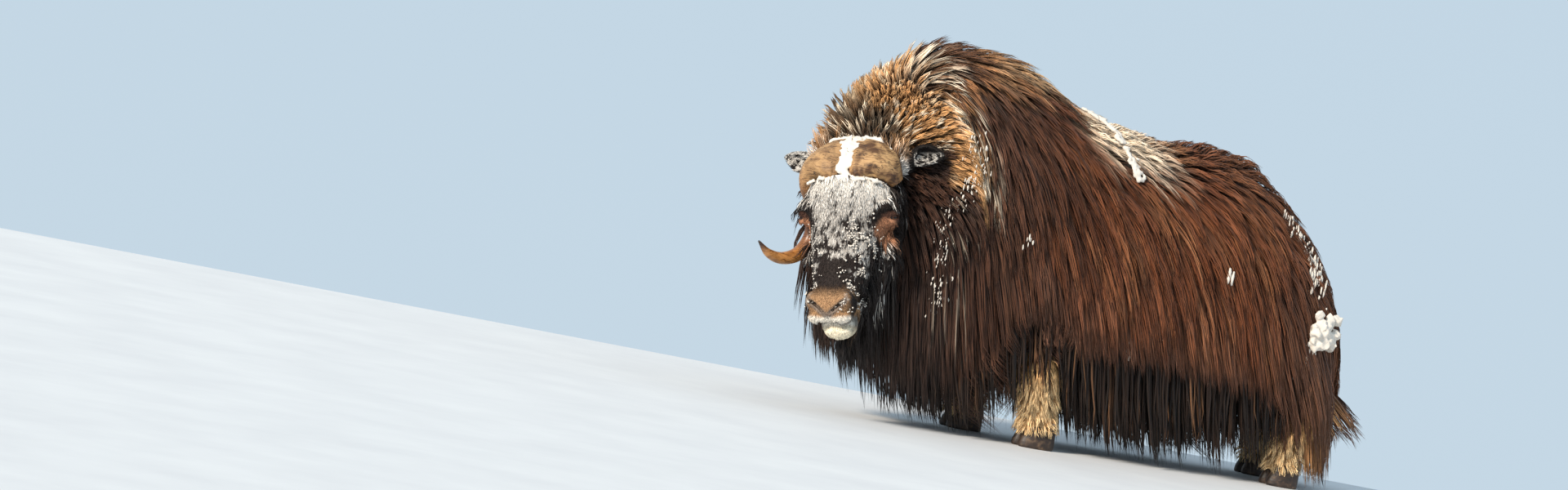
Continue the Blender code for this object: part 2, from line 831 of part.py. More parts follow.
# Tiers of the long coat: root's share of the way from the back to the hem, length, lean back.
TIERS = ((0.13, 0.30, 0.80), (0.34, 0.34, 0.60), (0.55, 0.33, 0.42), (0.76, None, 0.20))


def back_line(x):
    """Height of the back at x."""
    for (x0, z0, *_), (x1, z1, *_) in zip(TRUNK_STATIONS, TRUNK_STATIONS[1:]):
        if x <= x1:
            share = min(1.0, max(0.0, (x - x0) / (x1 - x0)))
            return z0 + (z1 - z0) * share
    return TRUNK_STATIONS[-1][1]


def coat_trunk(core):
    """Tiers of locks down the flanks and the rump, the crest, and the darker hair under the belly."""
    coat = Coat(core, [(SHOULDER_POINT - SHOULDER_NORMAL * GAP, SHOULDER_NORMAL)], clear_of_legs)
    draw = coat.random
    for row, (share, length, back) in enumerate(TIERS):
        for target, way in around_trunk(-0.815, 0.5 * (row % 2)):
            rear = way.x > 0.2
            if rear and abs(way.y) < 0.20 and row < 2:
                continue
            x = target.x + draw.uniform(-0.02, 0.02) + (0.22 if rear else 0.0)
            edge = hem(x)
            height = back_line(x) + (edge - back_line(x)) * (share + draw.uniform(-0.03, 0.03))
            place = Vector((target.x, 0, height))
            steep = rear or target.x < SHOULDER_POINT.x + 0.10
            lie = DOWN + BACK * (0.05 if steep else back)
            reach = length or max(0.12, height - edge)
            coat.grow(place, way, lie, reach, LOCK_WIDTH, 0.6 if length else 0.9)
    # From the spine the hair drapes back and down on each side.
    for step in range(10):
        for side in (-1, 1):
            x = -0.82 + 0.145 * step
            short = 0.65 if 2 < step < 5 else 1.0
            place = Vector((x + draw.uniform(-0.02, 0.02), side * 0.05, 0.60))
            way = Vector((0, side * 0.16, 1)).normalized()
            lie = BACK * (0.25 if step == 0 else 0.55) + Vector((0, side * 0.8, -0.15))
            coat.grow(place, way, lie, 0.28 * short, 0.130, fall=0.2)
    # Over the hump the crest stands up and sweeps back.
    for step in range(4):
        place = Vector((-0.83 + 0.095 * step, draw.uniform(-0.03, 0.03), 0.60))
        lie = BACK * 0.9 + Vector((0, draw.uniform(-0.3, 0.3), 0.20))
        coat.grow(place, Vector((0, 0, 1)), lie, 0.19, 0.09, fall=0.0, lift=0.028, cling=0.3)
    # Under the belly the inner hair hangs nearly to the floor.
    for step in range(5):
        for side in (-1, 1):
            place = Vector((-0.35 + 0.145 * step, side * 0.215, 0.60))
            way = Vector((0, side * 0.30, -1)).normalized()
            coat.grow(place, way, DOWN, 0.165, 0.145, fall=1.0, lift=0.0, sway=0.08)
    # Wisps that the wind lifts behind the rump.
    for height, aside in ((0.30, -0.10), (0.22, 0.02), (0.34, 0.12)):
        place = Vector((REAR_CENTRE, aside, height))
        coat.grow(place, BACK, BACK * 0.6 + DOWN, 0.20, 0.07, fall=0.1, cling=0.0)
    return coat.join()


def clear_of_head(head_pieces):
    """A function that moves a point until it is off the head, the ears and the horns."""
    bm = bmesh.new()
    for piece in head_pieces:
        bm.from_mesh(piece.data)
    tree = BVHTree.FromBMesh(bm)
    bm.free()

    def moved(point, margin):
        near, out, _, distance = tree.find_nearest(point)
        inside = distance < 0.08 and (point - near).dot(out) < 0
        reach = margin * 0.9 + 0.022
        if inside or distance < reach:
            behind = -NAPE_NORMAL
            point = near + (out * 0.5 + behind).normalized() * reach
        return point

    return moved


def face_point(aside, height):
    """A point of the plane behind the head, from its place to the left and its height."""
    across = NAPE_NORMAL.cross(Vector((0, 0, -1)))
    return Vector((NAPE_POINT.x, NAPE_POINT.y, height)) + across * aside


def coat_neck(core, head_pieces):
    """The ruff round the head, the mane on the hump and the curtain of the throat."""
    coat = Coat(core, [(SHOULDER_POINT, -SHOULDER_NORMAL)], clear_of_head(head_pieces))
    draw = coat.random
    across = NAPE_NORMAL.cross(Vector((0, 0, -1)))
    for row, (share, length, back) in enumerate(TIERS):
        for step in range(3):
            along = (step + 0.1 + 0.5 * (row % 2)) / 3
            top = 1.25 - 0.12 * along
            height = top + (0.08 - top) * (share + draw.uniform(-0.03, 0.03))
            place = Vector((-0.90 - 0.20 * along, 0, height))
            way = Vector((-0.30 * along, 1, 0)).normalized()
            coat.grow(place, way, DOWN + BACK * back, length or height - 0.08, 0.125, 0.6)
    # Beside and under the head the long hair grows from the face behind it.
    for row, height in enumerate((1.03, 0.88, 0.73, 0.58, 0.44)):
        for aside in (0.17, 0.27, 0.37, -0.17, -0.25, -0.06, 0.06):
            if abs(aside) < 0.1 and height > 0.5:
                continue
            if aside in (0.37, -0.25) and row == 0:
                continue
            root = face_point(aside + 0.03 * (row % 2), height + draw.uniform(-0.02, 0.02))
            lie = DOWN + across * (0.3 if aside > 0 else -0.1)
            coat.grow(root, NAPE_NORMAL, lie, min(0.30, height - 0.09), 0.115, fall=0.5)
    # The ruff stands out round the head.
    for step in range(11):
        turn = math.radians(-30 + 240 * step / 10)
        aside, up = math.cos(turn), math.sin(turn)
        target = face_point(0.0, NAPE_POINT.z + 0.08) - NAPE_NORMAL * 0.035
        way = (across * aside + Vector((0, 0, up))).normalized()
        lie = way * 0.75 - NAPE_NORMAL * 0.45 + DOWN * 0.25
        coat.grow(target, way, lie, 0.17, 0.120, fall=0.2, lift=0.0, cling=0.0)
    for step in range(5):
        turn = math.radians(24 + 33 * step)
        aside, up = math.cos(turn), math.sin(turn)
        root = face_point(0.17 * aside, NAPE_POINT.z + 0.20 + 0.10 * up)
        lie = across * aside + Vector((0, 0, up)) + NAPE_NORMAL * 0.10
        coat.grow(root, NAPE_NORMAL, lie, 0.16, 0.115, fall=0.1, lift=0.015)
    # The crest on the hump.
    for step in range(3):
        for side in (-1, 1):
            place = Vector((-0.90 - 0.09 * step, side * 0.05 - 0.010 * step, 0.60))
            way = Vector((-0.08 * step, side * 0.14, 1)).normalized()
            coat.grow(place, way, BACK * 0.55 + Vector((0, side * 0.8, 0.05)), 0.24, 0.10, fall=0.15)
            place = Vector((-0.94 - 0.09 * step, side * 0.15 - 0.010 * step, 0.60))
            coat.grow(place, way, BACK * 0.4 + Vector((0, side, -0.4)), 0.24, 0.11, fall=0.5)
    return coat.join()


def coat_head(head):
    """The beard under the jaw, the hair behind the cheeks and the tufts of the poll."""
    coat = Coat(head, [(NAPE_POINT, -NAPE_NORMAL)])
    beard = ((-0.080, -0.200, 0.25), (-0.030, -0.240, 0.25), (0.025, -0.290, 0.21), (0.080, -0.335, 0.14))
    for ahead, up, length in beard:
        for side in (-1, 1):
            way = head_way(-0.25, side * 0.75, -0.60)
            coat.grow(in_head(ahead, 0.0, up), way, DOWN, length, 0.090, fall=0.9, lift=0.0)
    for up, length in ((0.075, 0.20), (-0.045, 0.20)):
        for side in (-1, 1):
            way = head_way(-0.25, side, 0.0)
            coat.grow(in_head(-0.060, 0.0, up), way, DOWN, length, 0.085, fall=0.8, lift=0.01)
    for step in range(5):
        turn = math.radians(-60 + 30 * step)
        way = head_way(-0.55, math.sin(turn), math.cos(turn))
        lie = head_way(-0.25, math.sin(turn), math.cos(turn) + 0.3)
        root = in_head(-0.055, 0.06 * math.sin(turn), 0.08)
        coat.grow(root, way, lie, 0.15, 0.085, fall=0.05, lift=0.0, cling=0.0)
    return coat.join()


def main():
    clear_scene()
    coat_brown = material("coat_brown", (0.085, 0.040, 0.022), 0.85)
    mane_brown = material("mane_brown", (0.110, 0.058, 0.032), 0.85)
    face_dark = material("face_dark", (0.060, 0.040, 0.032), 0.80)
    stocking = material("stocking_cream", (0.500, 0.340, 0.190), 0.85)
    keratin = material("horn_keratin", (0.520, 0.340, 0.170), 0.45)
    hoof_dark = material("hoof_dark", (0.040, 0.030, 0.025), 0.50)
    eye_dark = material("eye_dark", (0.030, 0.015, 0.010), 0.08)

    cores = body_cores()
    hooves = [hoof(f"hoof_{name}", *LEGS[name]) for name in LEGS]
    horns = [horn("horn_right", -1, False), horn("horn_left", 1, True)]
    eyes = [eye("eye_left", 1), eye("eye_right", -1)]
    ears = [ear("ear_left", 1), ear("ear_right", -1)]

    tail = tail_form()
    coat_trunk(cores["torso"])
    cut_clear(cores["torso"], tail)
    for name in LEGS:
        cut_clear(cores["torso"], cores[name])

    head = melt("head", head_forms(), 0.008, 5, 1250)
    trim(head, NAPE_POINT, -NAPE_NORMAL)
    carve_face(head)
    for side in (1, -1):
        for roll in lids(side):
            boolean(head, roll, "UNION", "MANIFOLD")
            drop([roll])
    coat_head(head)
    for part in horns + eyes:
        cut_clear(head, part)
    for side in (1, -1):
        whole_ear = ear("whole_ear", side, cupped=False)
        cut_clear(head, whole_ear)
        drop([whole_ear])
    coat_neck(cores["neck"], [head] + horns + ears)

    for obj in (cores["torso"], tail):
        obj.data.materials.append(coat_brown)
    cores["neck"].data.materials.append(mane_brown)
    head.data.materials.append(face_dark)
    for name in LEGS:
        cores[name].data.materials.append(stocking)
    for obj in hooves:
        obj.data.materials.append(hoof_dark)
    for obj in horns:
        obj.data.materials.append(keratin)
    for obj in eyes:
        obj.data.materials.append(eye_dark)
    for obj in ears:
        obj.data.materials.append(face_dark)
    coated = (cores["torso"], cores["neck"], head)
    for obj in bpy.data.collections["Muskox"].objects:
        obj.data.transform(Matrix.Translation(-FOOTPRINT))
        for face in obj.data.polygons:
            face.use_smooth = obj not in coated


main()
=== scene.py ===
# %% [markdown]
# A muskox bull, life size, with its head turned to its left and one horn broken off at the boss.
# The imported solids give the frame: where each part is and how far it reaches. This lesson dresses
# them in four steps: one skin over the flesh, a long coat of solid tufts that follows the lie of
# the hair, finer horns, eyes and hooves, and a plain pale floor under soft light.

# %% The frame and the libraries
import math

import bmesh
import bpy
import numpy as np
from mathutils import Matrix, Vector, kdtree
from mathutils.bvhtree import BVHTree


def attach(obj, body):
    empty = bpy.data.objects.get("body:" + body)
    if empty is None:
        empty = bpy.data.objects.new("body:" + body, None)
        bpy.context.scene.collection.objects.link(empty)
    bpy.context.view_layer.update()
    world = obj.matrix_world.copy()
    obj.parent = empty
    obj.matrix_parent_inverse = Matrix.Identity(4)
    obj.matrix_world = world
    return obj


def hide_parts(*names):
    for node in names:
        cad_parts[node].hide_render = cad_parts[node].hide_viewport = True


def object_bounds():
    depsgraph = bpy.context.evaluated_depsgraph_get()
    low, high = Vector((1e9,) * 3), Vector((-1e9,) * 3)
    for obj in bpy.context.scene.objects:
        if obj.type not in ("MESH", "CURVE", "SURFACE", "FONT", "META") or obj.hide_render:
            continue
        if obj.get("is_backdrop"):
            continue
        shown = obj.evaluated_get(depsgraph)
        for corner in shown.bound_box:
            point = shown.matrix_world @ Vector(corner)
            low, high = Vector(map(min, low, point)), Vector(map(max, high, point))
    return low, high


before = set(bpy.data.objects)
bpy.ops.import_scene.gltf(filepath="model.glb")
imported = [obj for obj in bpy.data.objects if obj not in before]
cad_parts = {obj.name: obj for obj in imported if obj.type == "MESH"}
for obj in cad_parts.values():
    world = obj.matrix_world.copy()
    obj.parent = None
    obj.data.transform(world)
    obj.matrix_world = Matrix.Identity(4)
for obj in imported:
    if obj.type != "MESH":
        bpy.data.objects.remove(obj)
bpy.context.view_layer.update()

# %% [markdown]
# The forms are drawn in the same frame as the solids were: the origin lies on the floor between
# the legs, the nose end towards -X and the animal's left towards -Y. Everything is moved once, at
# the end of its making, to the middle of the footprint. The sizes here repeat the solids' own.

# %% Driving sizes, in metres
FOOTPRINT = Vector((-0.394, -0.024, 0.0))
COAT_TOP = 0.042        # depth of the coat over the skin on the back
COAT_SIDE = 0.054       # and on the flanks
SKIN_HANG = 0.30        # share of the hanging hair that the skin's belly fills
FOOT_SPREAD = 0.17
LEGS = {
    "foreleg_left": (-0.48, -FOOT_SPREAD, "fore"),
    "foreleg_right": (-0.575, FOOT_SPREAD + 0.01, "fore"),
    "hindleg_left": (0.47, -FOOT_SPREAD, "hind"),
    "hindleg_right": (0.56, FOOT_SPREAD - 0.01, "hind"),
}
HOOF_TOP = 0.066
EYE_RADIUS = 0.019
EYE_PLACE = (0.055, 0.149, -0.020)
HEAD_AT = Vector((-1.268, -0.128, 0.667))
HEAD_TURN = math.radians(45.0)
HEAD_LEAN = math.radians(11.0)
FLOOR_CLEAR = 0.012
SEED = 11
rng = np.random.default_rng(SEED)

# The head's own axes: forward, to its left, and up.
forward = Vector((-math.cos(HEAD_TURN), -math.sin(HEAD_TURN), 0.0))
left = Vector((math.sin(HEAD_TURN), -math.cos(HEAD_TURN), 0.0))
up = Vector((0, 0, 1))
HEAD_BASIS = Matrix(
    (
        forward,
        left * math.cos(HEAD_LEAN) + up * math.sin(HEAD_LEAN),
        up * math.cos(HEAD_LEAN) - left * math.sin(HEAD_LEAN),
    )
).transposed()
HEAD_AXES = np.array(HEAD_BASIS)


def in_head(ahead, aside, above):
    """A point from its place ahead of, to the left of and above the skull's middle."""
    return HEAD_AT + HEAD_BASIS @ Vector((ahead, aside, above))


def head_way(ahead, aside, above):
    return (HEAD_BASIS @ Vector((ahead, aside, above))).normalized()


def eye_middle(side):
    """The middle of the left eye for a side of 1, and of the right one for -1."""
    return in_head(EYE_PLACE[0], side * EYE_PLACE[1], EYE_PLACE[2])


def to_head(points):
    """World points as places ahead, to the left and above, in the head's frame."""
    return (points - np.array(HEAD_AT)) @ HEAD_AXES


print("left eye at", tuple(round(c, 3) for c in eye_middle(1)))

# %% [markdown]
# Closed forms, lofts and balls, are melted into one skin by a voxel remesh, as clay is pressed
# together. It leaves no seam where neck meets trunk or leg meets belly, which joined parts would.

# %% Helpers that make forms
def oval(centre, across, upward, half_width, half_height, sides):
    """A ring of points round an oval."""
    turns = [2 * math.pi * i / sides for i in range(sides)]
    return [
        centre + across * (half_width * math.cos(turn)) + upward * (half_height * math.sin(turn))
        for turn in turns
    ]


def finished_mesh(name, bm):
    bmesh.ops.recalc_face_normals(bm, faces=bm.faces)
    mesh = bpy.data.meshes.new(name)
    bm.to_mesh(mesh)
    bm.free()
    return mesh


def new_object(name, mesh):
    made = bpy.data.objects.new(name, mesh)
    bpy.context.scene.collection.objects.link(made)
    return made


def loft_mesh(name, sections):
    """A closed mesh through rings of as many points each."""
    bm = bmesh.new()
    rings = [[bm.verts.new(p) for p in section] for section in sections]
    sides = len(rings[0])
    for near, far in zip(rings, rings[1:]):
        for i in range(sides):
            j = (i + 1) % sides
            bm.faces.new((near[i], near[j], far[j], far[i]))
    bm.faces.new(rings[0])
    bm.faces.new(rings[-1])
    return finished_mesh(name, bm)


def ball_mesh(name, centre, radii, basis=None, segments=32, rings=20):
    bm = bmesh.new()
    bmesh.ops.create_uvsphere(bm, u_segments=segments, v_segments=rings, radius=1.0)
    turn = (basis or Matrix.Identity(3)).to_4x4()
    place = Matrix.Translation(centre) @ turn @ Matrix.Diagonal((*radii, 1.0))
    bmesh.ops.transform(bm, matrix=place, verts=bm.verts)
    return finished_mesh(name, bm)


def apply_modifiers(obj):
    bpy.context.view_layer.update()
    graph = bpy.context.evaluated_depsgraph_get()
    mesh = bpy.data.meshes.new_from_object(obj.evaluated_get(graph))
    obj.modifiers.clear()
    obj.data = mesh
    return obj


def melt(name, meshes, voxel, smoothing):
    """Presses closed meshes into one soft form."""
    bm = bmesh.new()
    for mesh in meshes:
        bm.from_mesh(mesh)
        bpy.data.meshes.remove(mesh)
    mesh = bpy.data.meshes.new(name)
    bm.to_mesh(mesh)
    bm.free()
    obj = new_object(name, mesh)
    remesh = obj.modifiers.new("Remesh", "REMESH")
    remesh.mode = "VOXEL"
    remesh.voxel_size = voxel
    smooth = obj.modifiers.new("Smooth", "SMOOTH")
    smooth.factor = 0.5
    smooth.iterations = smoothing
    return apply_modifiers(obj)


def cut(obj, meshes):
    """Cuts closed meshes out of obj, one after another."""
    for mesh in meshes:
        tool = new_object("tool", mesh)
        knife = obj.modifiers.new("Cut", "BOOLEAN")
        knife.operation = "DIFFERENCE"
        knife.solver = "MANIFOLD"
        knife.object = tool
        apply_modifiers(obj)
        bpy.data.objects.remove(tool)
    return obj


SIDEWAYS = Vector((0, 1, 0))
LENGTHWAYS = Vector((1, 0, 0))
print("a ring of six starts at", oval(Vector(), LENGTHWAYS, SIDEWAYS, 1.0, 1.0, 6)[0])


# %% [markdown]
# The trunk carries a hump over the shoulders, a dip behind it and a round rump. Its sections are
# round above and slab-sided below, because most of what shows as body is hanging hair. The skin
# lies inside the solids by the depth of the coat.

# %% The skin of the trunk, the neck and the legs
# Along the trunk: x, top of the coat, lowest hair, belly, half width.
TRUNK = (
    (-1.08, 1.120, 0.30, 0.46, 0.190),
    (-1.00, 1.230, 0.16, 0.42, 0.265),
    (-0.88, 1.280, 0.09, 0.40, 0.315),
    (-0.74, 1.266, 0.24, 0.38, 0.335),
    (-0.62, 1.206, 0.31, 0.37, 0.345),
    (-0.50, 1.142, 0.20, 0.37, 0.350),
    (-0.36, 1.110, 0.10, 0.36, 0.355),
    (-0.15, 1.080, 0.09, 0.36, 0.360),
    (0.06, 1.100, 0.10, 0.36, 0.360),
    (0.17, 1.078, 0.11, 0.37, 0.355),
    (0.28, 0.990, 0.15, 0.38, 0.345),
    (0.40, 0.895, 0.24, 0.38, 0.330),
    (0.49, 0.793, 0.24, 0.38, 0.305),
    (0.55, 0.673, 0.20, 0.36, 0.270),
    (0.60, 0.543, 0.10, 0.34, 0.225),
    (0.645, 0.420, 0.05, 0.33, 0.170),
    (0.685, 0.290, 0.06, 0.32, 0.100),
)
# Along the neck: place, top of the coat, lowest hair, throat, half width.
NECK = (
    ((-0.82, 0.000), 1.265, 0.20, 0.42, 0.300),
    ((-0.94, 0.000), 1.280, 0.09, 0.42, 0.305),
    ((-1.03, 0.000), 1.270, 0.08, 0.42, 0.300),
    ((-1.10, -0.015), 1.200, 0.11, 0.42, 0.290),
    ((-1.16, -0.045), 1.110, 0.15, 0.42, 0.265),
    ((-1.21, -0.085), 1.020, 0.20, 0.44, 0.235),
    ((-1.26, -0.135), 0.940, 0.27, 0.48, 0.190),
)
# Height, place behind the hoof, half width, half length.
FORE_PROFILE = (
    (0.48, -0.070, 0.062, 0.080),
    (0.38, -0.050, 0.056, 0.066),
    (0.29, -0.030, 0.050, 0.057),
    (0.20, -0.018, 0.042, 0.047),
    (0.12, -0.006, 0.044, 0.050),
    (0.05, 0.000, 0.050, 0.060),
)
HIND_PROFILE = (
    (0.47, 0.010, 0.060, 0.084),
    (0.40, 0.045, 0.052, 0.070),
    (0.32, 0.058, 0.045, 0.057),
    (0.22, 0.030, 0.040, 0.046),
    (0.13, 0.008, 0.042, 0.047),
    (0.05, 0.000, 0.048, 0.056),
)


def coat_section(centre, across, top, low, half_width, sides=40):
    """A ring that is rounded above its middle and slab-sided below it."""
    middle = low + (top - low) * 0.56
    points = []
    for i in range(sides):
        turn = 2 * math.pi * i / sides
        c, s = math.cos(turn), math.sin(turn)
        power = 0.90 if s > 0 else 0.62
        side = math.copysign(abs(c) ** power, c) * half_width
        rise = (top - middle) * s if s > 0 else -(middle - low) * abs(s) ** 0.85
        points.append(Vector((centre[0], centre[1], middle + rise)) + across * side)
    return points


def trunk_mesh():
    sections = []
    for x, top, low, belly, half_width in TRUNK:
        bottom = belly + (low - belly) * SKIN_HANG
        high = max(top - COAT_TOP, bottom + 0.05)
        sections.append(coat_section((x, 0), SIDEWAYS, high, bottom, half_width - COAT_SIDE))
    return loft_mesh("trunk", sections)


def neck_mesh():
    sections = []
    last = len(NECK) - 1
    for i, (place, top, low, throat, half_width) in enumerate(NECK):
        ahead = Vector(NECK[min(i + 1, last)][0]) - Vector(NECK[max(i - 1, 0)][0])
        across = Vector((ahead.y, -ahead.x, 0)).normalized()
        bottom = throat + (low - throat) * SKIN_HANG
        sections.append(coat_section(place, across, top - COAT_TOP, bottom, half_width - COAT_SIDE))
    return loft_mesh("neck", sections)


def leg_mesh(x, y, kind):
    profile = FORE_PROFILE if kind == "fore" else HIND_PROFILE
    sections = []
    for z, behind, half_width, half_length in profile:
        centre = Vector((x + behind, y, z))
        sections.append(oval(centre, LENGTHWAYS, SIDEWAYS, half_length, half_width, 24))
    return loft_mesh("leg", sections)


BODY_VOXEL = 0.011
legs = [leg_mesh(*place) for place in LEGS.values()]
body_skin = melt("body_skin", [trunk_mesh(), neck_mesh(), *legs], BODY_VOXEL, 3)
# The neck is pressed flat behind the head, so that the ears stand free of it.
NAPE = Vector((forward.x, forward.y, 0.0))
NAPE_POINT = in_head(-0.150, 0.0, 0.0)
PRESS_DEPTH = 0.02      # the press is felt this far behind the nape
PRESS_ABOVE = HOOF_TOP + 0.25
for vertex in body_skin.data.vertices:
    depth = (vertex.co - NAPE_POINT).dot(NAPE)
    if depth > -PRESS_DEPTH and vertex.co.z > PRESS_ABOVE:
        press = (depth + PRESS_DEPTH) ** 2 / max(depth + 2 * PRESS_DEPTH, PRESS_DEPTH)
        vertex.co -= NAPE * press
body_skin.data.update()
print("body skin:", len(body_skin.data.polygons), "faces")

# %% [markdown]
# The head is long and deep: a broad skull under the horn bosses, a face that narrows to a blunt
# hairy nose, a heavy jaw, brow ridges over small deep eyes, and ears set behind the horns. It is
# melted on a finer grid, then the nostrils, mouth, eye sockets and ear cups are cut and softened.

# %% The skin of the head
NOSE_UP = -0.305


def head_ball(place, radii, tilt=0.0):
    basis = HEAD_BASIS @ Matrix.Rotation(math.radians(tilt), 3, "Y")
    return ball_mesh("form", in_head(*place), radii, basis)


def head_loft(stops, facing, trim=0.0):
    sections = []
    for ahead, above, half_width, half_depth in stops:
        centre = in_head(ahead, 0, above)
        sections.append(
            oval(centre, head_way(0, 1, 0), facing, half_width - trim, half_depth - trim, 32)
        )
    return loft_mesh("form", sections)


FACE = (
    (0.020, 0.080, 0.145, 0.110),
    (0.040, -0.005, 0.146, 0.118),
    (0.070, -0.090, 0.122, 0.115),
    (0.112, -0.175, 0.097, 0.095),
    (0.158, -0.245, 0.084, 0.078),
    (0.198, -0.300, 0.077, 0.064),
)
JAW = (
    (-0.055, -0.085, 0.130, 0.085),
    (-0.015, -0.170, 0.115, 0.080),
    (0.052, -0.255, 0.088, 0.068),
    (0.115, -0.325, 0.070, 0.057),
    (0.160, -0.362, 0.060, 0.047),
)
HAIR_DEPTH = 0.005      # the face's short hair stands this far off its skin
EAR_LENGTH = 0.128
EAR_PROFILE = ((0.0, 0.022), (0.18, 0.030), (0.42, 0.038), (0.68, 0.034), (0.88, 0.020), (1.0, 0.006))
EAR_CUP = ((0.26, 0.008), (0.38, 0.025), (0.60, 0.027), (0.82, 0.016), (0.93, 0.005))


def ear_frame(side):
    root = in_head(-0.092, side * 0.150, 0.168)
    along = head_way(-0.10, side * 0.97, 0.12)
    facing = head_way(0.90, side * 0.10, -0.12)
    facing = (facing - along * facing.dot(along)).normalized()
    return root, along, facing, facing.cross(along).normalized()


def ear_mesh(side, profile, forward_by=0.0, depth=0.62, extra=0.0):
    root, along, facing, upward = ear_frame(side)
    sections = []
    for share, half in profile:
        bow = upward * (0.012 * math.sin(share * math.pi))
        centre = root + along * (EAR_LENGTH * share) + bow + facing * forward_by
        sections.append(oval(centre, upward, facing, half, half * depth + extra, 20))
    return loft_mesh("ear", sections)


def groove(points, half_height, half_depth, facing):
    """A thin curved cutter for the mouth and the nostrils."""
    sections = []
    last = len(points) - 1
    for i, point in enumerate(points):
        ahead = (points[min(i + 1, last)] - points[max(i - 1, 0)]).normalized()
        deep = (facing - ahead * facing.dot(ahead)).normalized()
        high = ahead.cross(deep).normalized()
        end = 0.35 if i in (0, last) else 1.0
        sections.append(oval(point, deep, high, half_depth, half_height * end, 10))
    return loft_mesh("groove", sections)


def mouth_points():
    points = []
    for step in range(-4, 5):
        share = abs(step) / 4
        place = (0.250 - 0.080 * share ** 2, 0.066 * step / 4, -0.366 + 0.010 * share ** 2)
        points.append(in_head(*place))
    return points


def nostril_points(side):
    points = []
    for step in range(5):
        share = step / 4
        aside = side * (0.008 + 0.053 * share)
        points.append(in_head(0.272 - 0.026 * share ** 2, aside, -0.336 + 0.046 * share ** 0.8))
    return points


def lid_rolls(side):
    """Upper and lower lid, curved rolls that leave a narrow almond open."""
    centre = eye_middle(side)
    outward = head_way(0.50, side * 0.86, 0.0)
    along = head_way(0.86, side * -0.50, -0.16)
    rolls = []
    for way in (1, -1):
        high = outward.cross(along).normalized()
        if high.dot(head_way(0, 0, 1)) * way < 0:
            high = -high
        for layer, (rise, size) in enumerate(((0.62, 0.0050), (1.05, 0.0074))):
            sections = []
            for step in range(-3, 4):
                turn = math.radians(27 * step)
                lift = rise * math.cos(turn) ** 0.7
                out = (outward * math.cos(turn) + along * math.sin(turn) + high * lift).normalized()
                point = centre + out * (EYE_RADIUS + 0.0012 + 0.002 * layer)
                onward = (along * math.cos(turn) - outward * math.sin(turn)).normalized()
                wide = out.cross(onward).normalized()
                sections.append(oval(point, wide, out, size, 0.0046, 10))
            rolls.append(loft_mesh("lid", sections))
    return rolls


def head_meshes():
    fur = HAIR_DEPTH
    face_way = head_way(0.87, 0, 0.36)
    forms = [
        head_ball((-0.015, 0, 0.065), (0.120 - fur, 0.150 - fur, 0.125 - fur)),
        head_ball((-0.075, 0, -0.01), (0.09 - fur, 0.145 - fur, 0.155 - fur)),
        head_ball((-0.095, 0, 0.110), (0.070 - fur, 0.140 - fur, 0.085 - fur)),
        head_ball((0.205, 0, NOSE_UP), (0.068 - fur / 2, 0.083 - fur / 2, 0.066 - fur / 2), 15),
        head_ball((0.160, 0.010, -0.370), (0.060 - fur / 2, 0.062 - fur, 0.046 - fur / 2)),
        head_loft(FACE, face_way, fur),
        head_loft(JAW, head_way(0.75, 0, 0.60), fur),
    ]
    for side in (-1, 1):
        forms += [
            head_ball((-0.088, side * 0.128, 0.160), (0.045, 0.047, 0.047)),
            head_ball((0.048, side * 0.128, -0.016), (0.044 - fur, 0.038 - fur / 2, 0.042 - fur)),
            head_ball((0.062, side * 0.122, 0.022), (0.040, 0.032, 0.020), 20),
            head_ball((0.000, side * 0.095, -0.135), (0.070 - fur, 0.052 - fur, 0.085 - fur)),
            head_ball((0.232, side * 0.048, NOSE_UP + 0.012), (0.034, 0.034, 0.034)),
            ear_mesh(side, EAR_PROFILE),
            head_ball((0.226, side * 0.034, -0.345), (0.032, 0.042, 0.024), 10),
        ]
    # The chin is pushed a little to the left, as when the animal chews.
    forms.append(head_ball((0.186, 0.016, -0.388), (0.038, 0.048, 0.027), 10))
    return forms


HEAD_VOXEL = 0.0042
LID_VOXEL = 0.0032
SOCKET_RADIUS = 0.0205
head_skin = melt("head_skin", head_meshes(), HEAD_VOXEL, 4)
tools = [groove(mouth_points(), 0.0036, 0.022, head_way(1, 0, 0))]
for side in (-1, 1):
    tools.append(groove(nostril_points(side), 0.0060, 0.020, head_way(1, 0, 0)))
    tools.append(ear_mesh(side, EAR_CUP, forward_by=0.015, depth=0.75, extra=0.004))
    tools.append(ball_mesh("socket", eye_middle(side), (SOCKET_RADIUS,) * 3))
cut(head_skin, tools)
rolls = [roll for side in (-1, 1) for roll in lid_rolls(side)]
carved = head_skin.data
bpy.data.objects.remove(head_skin)
head_skin = melt("head_skin", [carved, *rolls], LID_VOXEL, 1)
print("head skin:", len(head_skin.data.polygons), "faces")

# %% [markdown]
# Hair needs to know where the skin is. Each skin becomes arrays of points, triangles and normals
# for scattering roots, and a search tree that keeps combed hair from sinking into the flesh.

# %% The skins as arrays and trees
def read_rows(items, field, kind=float):
    """One field of many items, three numbers to a row."""
    values = np.empty(len(items) * 3, dtype=kind)
    items.foreach_get(field, values)
    return values.reshape(-1, 3)


def tree_of(objects):
    """One search tree over the meshes of several objects."""
    bm = bmesh.new()
    for obj in objects:
        bm.from_mesh(obj.data)
    tree = BVHTree.FromBMesh(bm)
    bm.free()
    return tree


